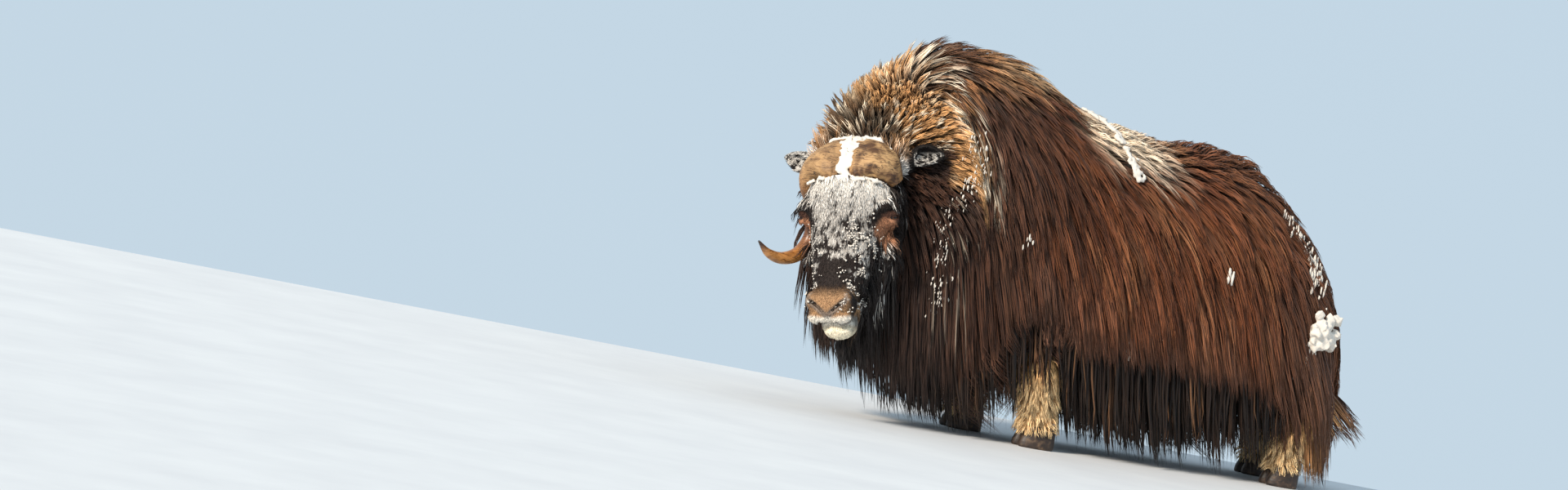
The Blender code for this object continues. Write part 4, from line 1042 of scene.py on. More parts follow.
def coat(name, roots, normals, guides, markings, width, rings, draw, frizz, twist=0.5,
         short=0.30, thick=0.28, head=False, shade=0.22, sink=0.004, root_shade=0.55, leave_out=None):
    """Grows tufts from roots along the guides and joins them into pieces.

    draw is how far a tuft's tip moves in to its guide, frizz how far it waves, short how much of
    its length it may lack, and sink how deep its root lies in the skin.
    """
    global coat_triangles
    count = len(roots)
    chosen = nearest_guide(roots, guides)
    scale = 1 - short * rng.random(count) ** 1.5
    shares = [i / rings for i in range(rings)] + [1.0]
    width, frizz, draw = (np.broadcast_to(np.asarray(v, dtype=float), (count,)) for v in (width, frizz, draw))
    rows = tuft_paths(roots, normals, guides, chosen, shares, scale, draw, frizz, sink)
    if leave_out is not None:
        keep = ~leave_out(rows, roots)
        roots, normals, chosen, rows, width = (v[keep] for v in (roots, normals, chosen, rows, width))
        count = len(roots)
    rows[:, :, 2] = np.maximum(rows[:, :, 2], FLOOR_CLEAR * 0.6)
    onward = np.empty_like(rows)
    onward[:, :-1] = rows[:, 1:] - rows[:, :-1]
    onward[:, -1] = onward[:, -2]
    onward[:, 1:-1] = rows[:, 2:] - rows[:, :-2]
    onward = unit(onward)
    facing = np.broadcast_to(normals[:, None], rows.shape)
    across = unit(np.cross(onward, facing))
    out = np.cross(across, onward)
    spin = rng.normal(scale=twist, size=count)[:, None, None]
    across, out = across * np.cos(spin) + out * np.sin(spin), out * np.cos(spin) - across * np.sin(spin)
    size = width * rng.uniform(0.7, 1.25, count)
    taper = np.array([0.80 + 0.5 * s - 1.15 * s ** 2.2 for s in shares[:-1]])
    half = (size[:, None] * taper[None] / 2)[:, :, None]
    deep = (size[:, None] * taper[None] * thick)[:, :, None]
    body_rows = rows[:, :-1]
    a = body_rows - across[:, :-1] * half
    b = body_rows + across[:, :-1] * half
    c = body_rows + out[:, :-1] * deep
    corners = np.stack([a, b, c], axis=2).reshape(count, rings * 3, 3)
    points = np.concatenate([corners, rows[:, -1:]], axis=1)
    per = rings * 3 + 1
    # Colour from root to tip, each guide's lock and each tuft a little lighter or darker, and each tuft
    # darkened towards its root as painted shade deep in the coat.
    base, tip = markings(roots, normals)
    lock_tone = 1 + shade * rng.normal(size=len(guides))[chosen]
    tone = np.clip(lock_tone * (1 + 0.6 * shade * rng.normal(size=count)), 0.45, 1.7)
    steps = np.array(shares)
    mix = np.clip(steps * 1.25 + 0.08, 0, 1)[None, :, None]
    # The colour darkens towards the root by root_shade: painted shade deep in the coat.
    dark = (root_shade + (1 - root_shade) * np.clip(steps * 2.2, 0, 1))[None, :, None]
    colour = (base[:, None] * (1 - mix) + tip[:, None] * mix) * dark * tone[:, None, None]
    colour = np.concatenate([np.repeat(colour[:, :-1], 3, axis=1), colour[:, -1:]], axis=1)
    # Fine streak coordinates: across, along, and a number of its own.
    reach = np.linalg.norm(np.diff(rows, axis=1), axis=2).sum(axis=1)
    streak = np.zeros((count, per, 3))
    streak[:, :-1, 0] = np.tile([0.0, 1.0, 0.5], rings)[None] * size[:, None]
    streak[:, -1, 0] = 0.5 * size
    streak[:, :-1, 1] = np.repeat(steps[:-1], 3)[None] * reach[:, None]
    streak[:, -1, 1] = reach
    streak[:, :, 2] = rng.random(count)[:, None] * 40
    uv = root_uv(roots, head)[:, None] + np.zeros((count, per, 1))
    uv[:, :-1, 0] += (np.tile([0.0, 1.0, 0.5], rings)[None] - 0.5) * PATCH
    uv[:, :-1, 1] += (np.repeat(steps[:-1], 3)[None] - 0.5) * PATCH
    uv[:, -1, 1] += 0.5 * PATCH
    # The faces of one tuft, by the numbers of its points.
    pattern = [(0, 2, 1)]
    for ring in range(rings - 1):
        for i in range(3):
            j = (i + 1) % 3
            near, far = ring * 3, ring * 3 + 3
            pattern += [(near + i, near + j, far + j), (near + i, far + j, far + i)]
    last = (rings - 1) * 3
    pattern += [(last + i, last + (i + 1) % 3, per - 1) for i in range(3)]
    pattern = np.array(pattern)
    together = TRIANGLE_LIMIT // len(pattern)
    order = np.argsort(roots[:, 0], kind="stable")
    for part, start in enumerate(range(0, count, together)):
        pick = order[start:start + together]
        faces = (np.arange(len(pick))[:, None, None] * per + pattern[None]).reshape(-1, 3)
        made = joined_mesh(
            f"{name}_{part + 1}",
            points[pick].reshape(-1, 3),
            faces,
            colour[pick].reshape(-1, 3),
            streak[pick].reshape(-1, 3),
            uv[pick].reshape(-1, 2),
        )
        coat_pieces.append(made)
        coat_triangles += len(faces)
    print(name, count, "tufts,", count * len(pattern), "triangles")


def joined_mesh(name, points, faces, colour, streak, uv):
    mesh = bpy.data.meshes.new(name)
    mesh.vertices.add(len(points))
    mesh.vertices.foreach_set("co", (points - np.array(FOOTPRINT)).ravel())
    mesh.loops.add(faces.size)
    mesh.loops.foreach_set("vertex_index", faces.ravel().astype(np.int32))
    mesh.polygons.add(len(faces))
    mesh.polygons.foreach_set("loop_start", np.arange(0, faces.size, 3, dtype=np.int32))
    mesh.update(calc_edges=True)
    mesh.shade_smooth()
    paint_mesh(mesh, colour, streak)
    layer = mesh.uv_layers.new(name="OFBake")
    layer.data.foreach_set("uv", uv[faces.ravel()].ravel())
    return new_object(name, mesh)


def paint_mesh(mesh, colour, streak):
    """Keeps the dye and the streak numbers of each point as attributes of the mesh."""
    dye = mesh.color_attributes.new("dye", "FLOAT_COLOR", "POINT")
    dye.data.foreach_set("color", np.concatenate([colour, np.ones((len(colour), 1))], axis=1).ravel())
    fine = mesh.attributes.new("streak", "FLOAT_VECTOR", "POINT")
    fine.data.foreach_set("vector", streak.ravel())


print("a piece of coat holds up to", TRIANGLE_LIMIT, "triangles")

# %% [markdown]
# Horns next, because hair must part round them. A muskox horn is keratin: a broad cracked boss
# over the forehead that narrows, drops close beside the cheek and hooks out to a sharp dark tip.
# Each is a loft through a dozen stops, smoothed between them. The left one ends blunt at its
# boss, broken and worn, so only its root remains.

# %% The horns
# At each stop: place ahead, aside and above in the head's frame, half breadth, half thickness.
HORN_STOPS = (
    ((0.034, 0.012, 0.163), 0.092, 0.043),
    ((0.034, 0.036, 0.168), 0.100, 0.048),
    ((0.031, 0.078, 0.166), 0.096, 0.048),
    ((0.025, 0.120, 0.143), 0.077, 0.044),
    ((0.006, 0.147, 0.098), 0.054, 0.036),
    ((-0.018, 0.149, 0.038), 0.039, 0.027),
    ((-0.032, 0.150, -0.030), 0.033, 0.024),
    ((-0.026, 0.163, -0.092), 0.029, 0.024),
    ((0.010, 0.191, -0.138), 0.026, 0.023),
    ((0.064, 0.226, -0.152), 0.021, 0.020),
    ((0.116, 0.254, -0.136), 0.014, 0.014),
    ((0.152, 0.274, -0.098), 0.003, 0.003),
)
BOSS_STOPS = 5
BOSS_PARTING = 0.012    # half the gap between the two bosses


def curve_through(values, fine):
    """Points of a smooth curve through rows of numbers."""
    values = np.array(values, dtype=float)
    padded = np.vstack([2 * values[0] - values[1], values, 2 * values[-1] - values[-2]])
    rows = []
    for i in range(len(values) - 1):
        p0, p1, p2, p3 = padded[i:i + 4]
        for step in range(fine):
            s = step / fine
            rows.append(
                0.5 * (2 * p1 + (p2 - p0) * s + (2 * p0 - 5 * p1 + 4 * p2 - p3) * s ** 2
                       + (3 * p1 - p0 - 3 * p2 + p3) * s ** 3)
            )
    rows.append(values[-1])
    return np.array(rows)


def horn(name, side, broken):
    stops = HORN_STOPS[:BOSS_STOPS] if broken else HORN_STOPS
    rows = [(*place, broad, thick, i) for i, (place, broad, thick) in enumerate(stops)]
    if broken:
        place, broad, thick = stops[-1]
        rows[-1] = (*place, broad * 0.72, thick * 0.66, BOSS_STOPS - 1)
    rows = curve_through(rows, 9)
    sides = 56
    sections = []
    for k, (ahead, aside, above, broad, thick, stop) in enumerate(rows):
        before, after = rows[max(k - 1, 0)], rows[min(k + 1, len(rows) - 1)]
        along = Vector(after[:3] - before[:3])
        along.y *= side
        along.normalize()
        turn = min(1.0, stop / BOSS_STOPS)
        wide = Vector((-0.72 - 0.28 * turn, 0.0, 0.72 * (1 - turn)))
        wide = (wide - along * wide.dot(along)).normalized()
        deep = along.cross(wide).normalized()
        ring = []
        for i in range(sides):
            angle = 2 * math.pi * i / sides
            c, s = math.cos(angle), math.sin(angle)
            # Growth steps run round the horn and shallow wrinkles run along it.
            band = 0.0012 * math.sin(stop * 9.0 + 1.3 * math.sin(3 * angle)) * (stop < 4.5)
            rib = 0.0009 * math.sin(angle * 13 + 2.0 * math.sin(stop * 2.1)) * (stop < 5)
            swell = 1 + (band + rib) / max(thick, 0.004)
            flat = math.copysign(abs(c) ** 0.9, c)
            place = Vector((ahead, side * aside, above))
            place += (wide * (broad * flat) + deep * (thick * s)) * min(swell, 1.0)
            ring.append(HEAD_AT + HEAD_BASIS @ place)
        sections.append(ring)
    if broken:
        # The break: the rim turns in over a rough, slightly hollow end.
        middle = sum(sections[-1], Vector()) / sides
        onward = (middle - sum(sections[-3], Vector()) / sides).normalized()
        for shrink, push in ((0.90, 0.004), (0.66, 0.0055), (0.40, 0.003), (0.15, 0.001)):
            ring = []
            for i, point in enumerate(sections[len(rows) - 1]):
                ragged = 0.0018 * math.sin(i * 1.9) * math.sin(i * 0.7 + push * 900)
                ring.append(middle + (point - middle) * shrink + onward * (push + ragged))
            sections.append(ring)
    obj = new_object(name, loft_mesh(name, sections))
    # The bosses are cut flat where they face each other across the parting.
    plane = in_head(0.0, side * BOSS_PARTING, 0.0)
    block = bmesh.new()
    block.from_mesh(obj.data)
    geom = block.verts[:] + block.edges[:] + block.faces[:]
    cutting = bmesh.ops.bisect_plane(
        block, geom=geom, plane_co=plane, plane_no=head_way(0, -side, 0), clear_outer=True
    )
    rim = [e for e in cutting["geom_cut"] if isinstance(e, bmesh.types.BMEdge)]
    bmesh.ops.edgeloop_fill(block, edges=rim)
    bmesh.ops.recalc_face_normals(block, faces=block.faces)
    block.to_mesh(obj.data)
    block.free()
    # How far out along the horn each point is, for its colours.
    centres = rows[:, :3] * np.array([1, side, 1])
    points = np.array([v.co for v in obj.data.vertices])
    place = to_head(points)
    nearest = np.linalg.norm(place[:, None] - centres[None], axis=2).argmin(axis=1)
    growth = obj.data.attributes.new("growth", "FLOAT", "POINT")
    growth.data.foreach_set("value", rows[nearest, 5])
    obj.data.shade_smooth()
    return obj


horns = [horn("horn_right_fine", -1, False), horn("horn_left_fine", 1, True)]
print("horn faces:", [len(h.data.polygons) for h in horns])

# %% [markdown]
# A muskox eye is dark and wet, with a wide sideways pupil in a dark brown iris. It is a ball that
# bulges a little in front, where it catches one highlight, and its iris and pupil are painted by
# distance and angle from its own axis.

# %% The eyes
EYE_AXIS = (0.62, 0.78, -0.05)
BULGE = 0.0040
BULGE_FROM = 0.80       # cosine of the angle from the axis where the bulge starts


def eye(name, side):
    centre = eye_middle(side)
    mesh = ball_mesh(name, centre, (EYE_RADIUS * 0.985,) * 3, HEAD_BASIS, 48, 32)
    axis = head_way(EYE_AXIS[0], side * EYE_AXIS[1], EYE_AXIS[2])
    upward = head_way(0, 0, 1)
    upward = (upward - axis * upward.dot(axis)).normalized()
    sideways = axis.cross(upward)
    look = np.empty((len(mesh.vertices), 3))
    for i, vertex in enumerate(mesh.vertices):
        way = (vertex.co - centre).normalized()
        look[i] = (way.dot(sideways), way.dot(upward), way.dot(axis))
        vertex.co += axis * (max(0.0, way.dot(axis) - BULGE_FROM) * BULGE)
    facing = mesh.attributes.new("look", "FLOAT_VECTOR", "POINT")
    facing.data.foreach_set("vector", look.ravel())
    mesh.shade_smooth()
    return new_object(name, mesh)


eyes = [eye("eye_left_fine", 1), eye("eye_right_fine", -1)]
print("eye faces:", [len(ball.data.polygons) for ball in eyes])

# %% [markdown]
# The hooves are broad and round-toed, cloven, of dark keratin, flat on the floor. Each toe is a
# loft of rounded sections that rises to the hair line.

# %% The hooves
# Up a toe: height, share of its full size, and how far it leans back.
TOE_STOPS = (
    (0.0, 0.93, 0.0), (0.004, 0.99, 0.0), (0.020, 0.985, 0.001),
    (0.035, 0.93, 0.004), (0.055, 0.84, 0.009), (0.075, 0.76, 0.014),
)
TOE_WIDTH = 0.0300      # half the width of a toe, and its place beside the hoof's middle
TOE_LENGTH = {"fore": 0.063, "hind": 0.057}
HOOF_VOXEL = 0.0034


def hoof(name, x, y, kind):
    toes = []
    for side in (-1, 1):
        sections = []
        along = Vector((1, 0.10 * side, 0))
        for z, share, behind in TOE_STOPS:
            centre = Vector((x + behind - 0.006, y + side * TOE_WIDTH, z))
            size = TOE_LENGTH[kind] * share
            sections.append(oval(centre, along, SIDEWAYS, size, TOE_WIDTH * share, 28))
        toes.append(loft_mesh("toe", sections))
    made = melt(name, toes, HOOF_VOXEL, 2)
    for vertex in made.data.vertices:
        vertex.co.z = max(vertex.co.z, 0.0)
    made.data.shade_smooth()
    return made


hooves = [hoof(f"{name}_hoof", *place) for name, place in LEGS.items()]
print("hoof faces:", [len(h.data.polygons) for h in hooves])

# %% [markdown]
# Now the coat itself: the long guard hair of trunk, neck and ruff first, then the belly's dark
# hair and the stockings, and last the head from beard to face. Lengths come from the animal: up
# to 60 cm of guard hair on the skirt behind, 8 to 17 cm on the back, 1 to 3 cm on the face.

# %% The trunk's coat
hard_tree = tree_of(horns + eyes)
head_tree = tree_of([head_skin, *horns, *eyes])
BODY_GUIDES, BODY_TUFTS = 5600, 44500
BODY_TUFT_WIDTH = 0.0058


def free_of(tree, roots, margin):
    """True where a root isn't under or against a hard part."""
    free = np.ones(len(roots), dtype=bool)
    for i, root in enumerate(roots):
        near, out, _, gap = tree.find_nearest(root)
        inside = (Vector(root) - near).dot(out) < 0 and gap < 0.08
        free[i] = not inside and gap > margin
    return free


def hides_ear(rows, roots):
    """True for tufts that would cross in front of an ear."""
    ahead, aside, above = np.moveaxis(to_head(rows.reshape(-1, 3)).reshape(rows.shape), 2, 0)
    wide = np.abs(aside)
    before = window(wide, 0.172, 0.31, 0.001) * window(above, 0.122, 0.232, 0.001) * (ahead > -0.128)
    ahead, aside, above = to_head(roots).T
    own = (np.abs(aside) > 0.150) & (above > 0.09) & (ahead > -0.14) & (ear_gap(roots) < 0.09)
    return (before[:, 1:] > 0.5).any(axis=1) & ~own


def outer_density(points, normals):
    under = soft(0.35, 0.65, -normals[:, 2]) * (points[:, 2] < 0.55)
    ring = ring_share(points)
    return (1 - under) * (1 - leg_share(points)) * (1 + 1.6 * ring)


def skirt_share(points):
    """1 on the skirt behind, which hangs free of the hind legs and so isn't drawn to them."""
    return soft(0.18, 0.32, points[:, 0]) * soft(0.18, 0.42, level(points))


def body_length(points):
    down = level(points)
    x, z = points[:, 0], points[:, 2]
    length = 0.17 + 0.24 * soft(0.05, 0.45, down)
    saddle = soft(-0.60, -0.45, x) * (1 - soft(0.05, 0.25, x)) * (1 - soft(0.05, 0.20, down))
    length = length * (1 - 0.55 * saddle) + 0.24 * skirt_share(points)
    ring = ring_share(points)
    _, aside, above = to_head(points).T
    far = window(aside, -0.34, -0.06, 0.04) * window(above, 0.06, 0.34, 0.05)
    top = soft(0.26, 0.36, above) * soft(-0.06, 0.02, aside)
    length = length * (1 - ring) + (0.080 + 0.070 * far - 0.050 * top) * ring
    return np.minimum(length, 0.035 + 0.9 * np.maximum(ear_gap(points) - 0.04, 0) + 0.4 * (z < 0.7))


def trim_to_hem(length, points):
    """Shortens hair so that it ends near the hem."""
    low = along_body(HEM, points[:, 0] + 0.04, 1)
    far = 0.27 * (points[:, 1] > 0.05) * window(points[:, 0], -0.50, 0.20, 0.08)
    low = np.maximum(low - far, -0.04)
    room = np.maximum(points[:, 2] - low, 0.05) * rng.uniform(0.92, 1.14, len(points))
    return np.minimum(length, room)


def outside_head(roots, normals, margin):
    free = free_of(head_tree, roots, margin)
    return roots[free], normals[free]


roots, normals = outside_head(*body.scatter(BODY_GUIDES, outer_density), 0.004)
down = level(roots)
lengths = trim_to_hem(body_length(roots) * rng.uniform(0.85, 1.15, len(roots)), roots)
wild = rng.random(len(roots))
ring = ring_share(roots)
crest = (1 - soft(0.02, 0.09, down)) * (1 - soft(-0.70, -0.50, roots[:, 0]))
# Behind, a few locks are blown back.
blown = ((roots[:, 0] > 0.46) & (roots[:, 2] < 0.36) & (wild < 0.30)).astype(float)
lie = body_lie(roots, normals)
lie = unit(lie * (1 - blown)[:, None] + (BACK * 1.0 + DOWN * 0.75) * blown[:, None])
lengths = np.where(blown > 0, np.minimum(0.195, 0.05 + 0.6 * roots[:, 2]), lengths)
behind = soft(0.20, 0.45, roots[:, 0]) * (1 - blown)
body_guides = comb(
    body, roots, normals, lie, lengths,
    stand=(0.10 + 0.05 * wild + 0.22 * ring + 0.08 * crest) * (1 - 0.5 * behind),
    weight=(0.60 * soft(0.05, 0.30, down) * (1 - 0.7 * ring) + 0.05) * (1 - 0.7 * blown),
    depth=((0.008 + 0.034 * rng.random(len(roots))) * (1 - 0.3 * crest) * (1 - 0.5 * behind) + 0.02 * ring)
    * (0.2 + 0.8 * soft(0.06, 0.12, ear_gap(roots))),
    cling=np.where(ring > 0.3, 0.25, 0.75) * (1 - 0.6 * crest) * (1 - blown)
    * (1 - 0.95 * skirt_share(roots)),
    clear=head_tree,
)
roots, normals = outside_head(*body.scatter(BODY_TUFTS, outer_density), 0.003)
ring = ring_share(roots)
coat(
    "coat_body", roots, normals, body_guides, body_markings, BODY_TUFT_WIDTH - 0.0006 * ring, 4,
    draw=0.55 - 0.05 * ring, frizz=0.0035 - 0.0010 * ring, twist=0.4, leave_out=hides_ear,
)

# %% [markdown]
# Under the belly the hair is dark, painted nearly black as painted shade under the body, and
# hangs almost to the floor, uneven at its ends, between and behind the legs. Its outer fringe has
# lighter tips, partly their own brown and partly painted light where light reaches the outer side.

# %% The belly's coat and the stockings
BELLY_GUIDES, BELLY_TUFTS = 420, 3400
LEG_GUIDES, LEG_TUFTS = 900, 8400


def under_density(points, normals):
    return soft(0.15, 0.50, -normals[:, 2]) * (points[:, 2] < 0.5) * (1 - leg_share(points))


roots, normals = body.scatter(BELLY_GUIDES, under_density)
low = along_body(TRUNK, roots[:, 0], 2) - 0.08 - 0.12 * window(roots[:, 0], -1.05, -0.62, 0.05)
low = np.maximum(low, -0.01)
lengths = np.maximum(roots[:, 2] - low, 0.06) * rng.uniform(0.85, 1.15, len(roots))
hanging = np.tile(DOWN + 0.12 * BACK, (len(roots), 1))
belly_guides = comb(
    body, roots, normals, hanging, lengths, stand=np.full(len(roots), 0.05),
    weight=np.ones(len(roots)), depth=np.full(len(roots), 0.01), cling=np.zeros(len(roots)),
)
roots, normals = body.scatter(BELLY_TUFTS, under_density)


def belly_markings_shade_and_light(points, normals):
    # The belly's own dark brown deepened by painted shade, and outer fringe tips lighter, partly their own
    # brown and partly painted light.
    base = np.tile(DYE["belly"], (len(points), 1))
    fringe_tip_and_light = soft(0.18, 0.26, np.abs(points[:, 1])) * soft(0.55, 0.8, patches(points, 0.03, 9))
    return base, blend(base, "fringe_tip_and_light", fringe_tip_and_light * 0.75)


coat("coat_belly", roots, normals, belly_guides, belly_markings_shade_and_light, 0.0085, 4, draw=0.5, frizz=0.006)


def leg_density(points, normals):
    return leg_share(points) * (points[:, 2] > HOOF_TOP - 0.004)


roots, normals = body.scatter(LEG_GUIDES, leg_density)
lengths = 0.028 + 0.055 * soft(0.08, 0.25, roots[:, 2]) * rng.uniform(0.6, 1.2, len(roots))
leg_guides = comb(
    body, roots, normals, body_lie(roots, normals), lengths + 0.02 * (normals[:, 0] < 0),
    stand=np.where(normals[:, 0] < 0, 0.50, 0.30), weight=np.full(len(roots), 0.4),
    depth=0.008 + 0.020 * rng.random(len(roots)), cling=np.full(len(roots), 0.1),
    floor=np.full(len(roots), 0.045),
)
roots, normals = body.scatter(LEG_TUFTS, leg_density)
coat(
    "coat_legs", roots, normals, leg_guides, body_markings, 0.0032, 3, draw=0.35, frizz=0.0012,
    root_shade=0.9,
)

# %% [markdown]
# On the head the hair is longest under the jaw, where it makes a black beard, and behind the
# horns, where it meets the ruff. Above the bosses stands a tousled forelock. The face has short
# dense hair, shortest at the lips, drawn fine so that the form of the head reads through it.

# %% The head's coat
def head_styles(points, normals):
    """Length, how far it stands off, and its weight, for roots on the head."""
    ahead, aside, above = to_head(points).T
    wide = np.abs(aside)
    facing = normals @ HEAD_AXES[:, 0]
    front = soft(0.05, 0.40, facing)
    under = soft(0.15, 0.6, -(normals @ HEAD_AXES[:, 2])) * (above < -0.10)
    length = 0.050 + 0.08 * (1 - soft(-0.08, 0.05, ahead))
    length = length * (1 - front) + (0.010 + 0.016 * soft(-0.20, 0.05, above)) * front
    nose = (ahead > 0.12) & (above < -0.24)
    length = np.where(nose, 0.007 + 0.03 * (1 - soft(0.12, 0.16, ahead)), length)
    chin = soft(0.0, 0.6, under) * (1 - soft(0.10, 0.14, ahead))
    length = length + chin * (0.06 + 0.14 * (1 - soft(0.0, 0.13, ahead)))
    length = np.where((ahead > 0.135) & (above < -0.24), 0.007, length)
    crown = soft(0.12, 0.17, above) * (1 - soft(0.02, 0.06, ahead))
    length = length * (1 - crown) + (0.080 + 0.040 * (1 - soft(-0.12, -0.04, aside))) * crown
    ear = (wide > 0.155) & (above > 0.09) & (ahead < -0.03)
    temple = temple_share(ahead, wide, above)
    length = length * (1 - temple) + (0.065 + 0.035 * (aside < 0)) * temple
    # The far cheek's hair is shorter than the near one's.
    length = length * (1 - 0.45 * (aside < 0) * (above < 0.0) * soft(-0.13, -0.02, ahead) * (1 - front))
    near_ear = 1 - soft(0.06, 0.13, ear_gap(points))
    length = length * (1 - near_ear) + 0.022 * near_ear
    length = np.where(ear, 0.014, length)
    near_eye = (1 - soft(0.024, 0.060, np.hypot(np.abs(wide - 0.150), above + 0.02))) * (ahead > -0.02)
    length = length * (1 - 0.55 * near_eye)
    stand = 0.10 + 0.40 * crown + 0.10 * (1 - front) + 0.25 * temple
    weight = 0.7 * (1 - front) * (1 - crown)
    return length, np.where(ear, 0.15, stand), np.where(ear, 0.1, np.maximum(weight, chin))


def long_head(points, normals):
    length, _, _ = head_styles(points, normals)
    ahead = to_head(points)[:, 0]
    return soft(0.030, 0.045, length) * (1 - 0.5 * (ahead < -0.14))


def short_head(points, normals):
    length, _, _ = head_styles(points, normals)
    _, aside, above = to_head(points).T
    lips = 1 + 1.5 * (above < -0.24) + 1.5 * (np.hypot(np.abs(aside) - 0.150, above + 0.03) < 0.06)
    return (1 - soft(0.034, 0.045, length)) * lips


def grow_head(name, density, guide_count, count, **more):
    """Combs guides on the head and grows a coat along them."""
    roots, normals = face.scatter(guide_count, density)
    length, stand, weight = head_styles(roots, normals)
    guides = comb(
        face, roots, normals, head_lie(roots, normals), length * rng.uniform(0.85, 1.15, len(roots)),
        stand=stand, weight=weight, depth=np.minimum(0.02, length * 0.12), cling=0.5 * (stand < 0.3),
        clear=hard_tree,
    )
    roots, normals = face.scatter(count, density)
    free = free_of(hard_tree, roots, 0.0015)
    for side in (-1, 1):
        gap = np.linalg.norm(roots - np.array(eye_middle(side)), axis=1)
        free &= gap > EYE_RADIUS + 0.0055
    roots, normals = roots[free], normals[free]
    coat(name, roots, normals, guides, head_markings, head=True, leave_out=hides_ear, **more)


grow_head(
    "coat_head", long_head, guide_count=1500, count=8500, width=0.0050, rings=4, draw=0.5,
    frizz=0.004,
)
grow_head(
    "coat_face", short_head, guide_count=3500, count=17000, width=0.0026, rings=2, draw=0.30,
    frizz=0.0012, sink=0.001, root_shade=0.8, twist=0.35, shade=0.15,
)
print("coat in all:", coat_triangles, "triangles in", len(coat_pieces), "pieces")

# %% [markdown]
# Snow has stuck to this coat: packed between and round the bosses, in crumbs on the face, along
# the ruff's edge and the saddle, and as one fist-sized lump on the rump. Crumbs are small uneven
# balls. The larger ones are pressed into lumps as the skin was, and the smallest stay single.

# %% Snow in the coat
def strewn(stops, count, spread):
    """Points strewn along a line through stops."""
    stops = np.array(stops, dtype=float)
    at = rng.random(count) * (len(stops) - 1)
    low = np.minimum(at.astype(int), len(stops) - 2)
    part = (at - low)[:, None]
    line = stops[low] * (1 - part) + stops[low + 1] * part
    return line + rng.normal(scale=spread, size=(count, 3))


def crumb(point, size, tall=1.0):
    """One uneven ball; a tall one is drawn out along the hair it clings to."""
    radii = [size * rng.uniform(0.6, 1.4) for _ in range(3)]
    radii[2] *= tall
    turn = Matrix.Rotation(rng.uniform(0, math.pi), 3, "X") if tall == 1.0 else Matrix.Identity(3)
    made = ball_mesh("crumb", Vector(point), radii, turn, 8, 5)
    for vertex in made.vertices:
        vertex.co += (vertex.co - Vector(point)) * rng.uniform(-0.35, 0.30)
    return made


def on_coat(points, lift):
    """The points moved to just above the nearest skin, where the coat's surface is."""
    found = [body.tree.find_nearest(Vector(p)) for p in points]
    return [near + normal * lift for near, normal, _, _ in found]


SADDLE_EDGE = ((-0.46, -0.04, 1.10), (-0.42, -0.08, 1.07), (-0.37, -0.20, 1.01), (-0.33, -0.28, 0.94))
RUMP_LUMP = ((0.437, -0.268, 0.548),) * 2
# Of each kind of lump: the line it lies on, how many balls, their spread and lift, smallest, largest.
LUMP_ROWS = (
    (SADDLE_EDGE, 150, 0.011, 0.038, 0.004, 0.009),
    (RUMP_LUMP, 34, 0.026, 0.046, 0.010, 0.024),
    (RUMP_LUMP, 40, 0.030, 0.040, 0.004, 0.008),
)
# Of each streak of crumbs: the line it lies on, how many, their spread, size and lift.
STREAK_ROWS = (
    (((0.26, -0.24, 0.90), (0.35, -0.26, 0.80), (0.40, -0.26, 0.66)), 80, 0.016, 0.0030, 0.034),
    (((0.43, -0.27, 0.50), (0.41, -0.28, 0.36)), 40, 0.013, 0.0036, 0.044),
    (((-0.95, -0.25, 0.98), (-0.92, -0.28, 0.84), (-0.97, -0.26, 0.76)), 80, 0.018, 0.0017, 0.056),
    (((-0.99, -0.24, 0.74), (-0.99, -0.26, 0.54), (-0.95, -0.25, 0.38)), 120, 0.017, 0.0015, 0.050),
    (((-0.71, -0.29, 0.69), (-0.71, -0.29, 0.66)), 6, 0.012, 0.0030, 0.043),
    (((-0.27, -0.30, 0.38), (-0.21, -0.28, 0.31)), 8, 0.010, 0.0035, 0.043),
    (((0.03, -0.34, 0.69), (0.03, -0.34, 0.67)), 3, 0.008, 0.0040, 0.043),
)
HAIR_CRUMB_TALL = 3.2
PARTING_BALLS, RIM_BALLS = 240, 210
lumps, crumbs = [], []
for stops, count, spread, lift, smallest, largest in LUMP_ROWS:
    places = on_coat(strewn(stops, count, spread), lift)
    lumps += [crumb(place, rng.uniform(smallest, largest)) for place in places]
for stops, count, spread, size, lift in STREAK_ROWS:
    places = on_coat(strewn(stops, count, spread), lift)
    crumbs += [crumb(place, size * rng.uniform(0.5, 1.5), HAIR_CRUMB_TALL) for place in places]
# Between the bosses, and along their upper and lower rims.
for _ in range(PARTING_BALLS):
    slope = rng.uniform(-0.98, 0.95)
    high = 0.044 * math.sqrt(1 - slope ** 2)
    ahead = 0.034 - 0.068 * slope + 0.70 * high
    above = 0.165 + 0.068 * slope + 0.70 * high
    aside = rng.normal(scale=0.015)
    lumps.append(crumb(in_head(ahead, aside, above), rng.uniform(0.004, 0.009)))
for step in range(RIM_BALLS):
    aside = rng.uniform(-0.125, 0.125)
    broad = np.interp(abs(aside), (0.03, 0.08, 0.12, 0.15), (0.098, 0.094, 0.076, 0.056))
    middle = np.interp(abs(aside), (0.03, 0.08, 0.12, 0.15), (0.168, 0.166, 0.143, 0.100))
    way = 1 if step % 3 else -1
    reach = broad * (0.98 + rng.uniform(-0.08, 0.07))
    place = (0.034 - 0.72 * way * reach + 0.010, aside, middle + 0.70 * way * reach + 0.004)
    lumps.append(crumb(in_head(*place), rng.uniform(0.003, 0.0075)))


def face_density(points, normals):
    _, aside, above = to_head(points).T
    low = window(above, -0.31, -0.04, 0.04) * window(np.abs(aside), 0.035, 0.105, 0.02)
    clear = soft(0.035, 0.05, np.hypot(np.abs(aside) - 0.150, above + 0.02))
    clear = clear * np.where(aside > 0, 1.0, 0.2)
    return low * clear * (normals @ HEAD_AXES[:, 0] > 0.05) * soft(0.54, 0.66, patches(points, 0.016, 21))


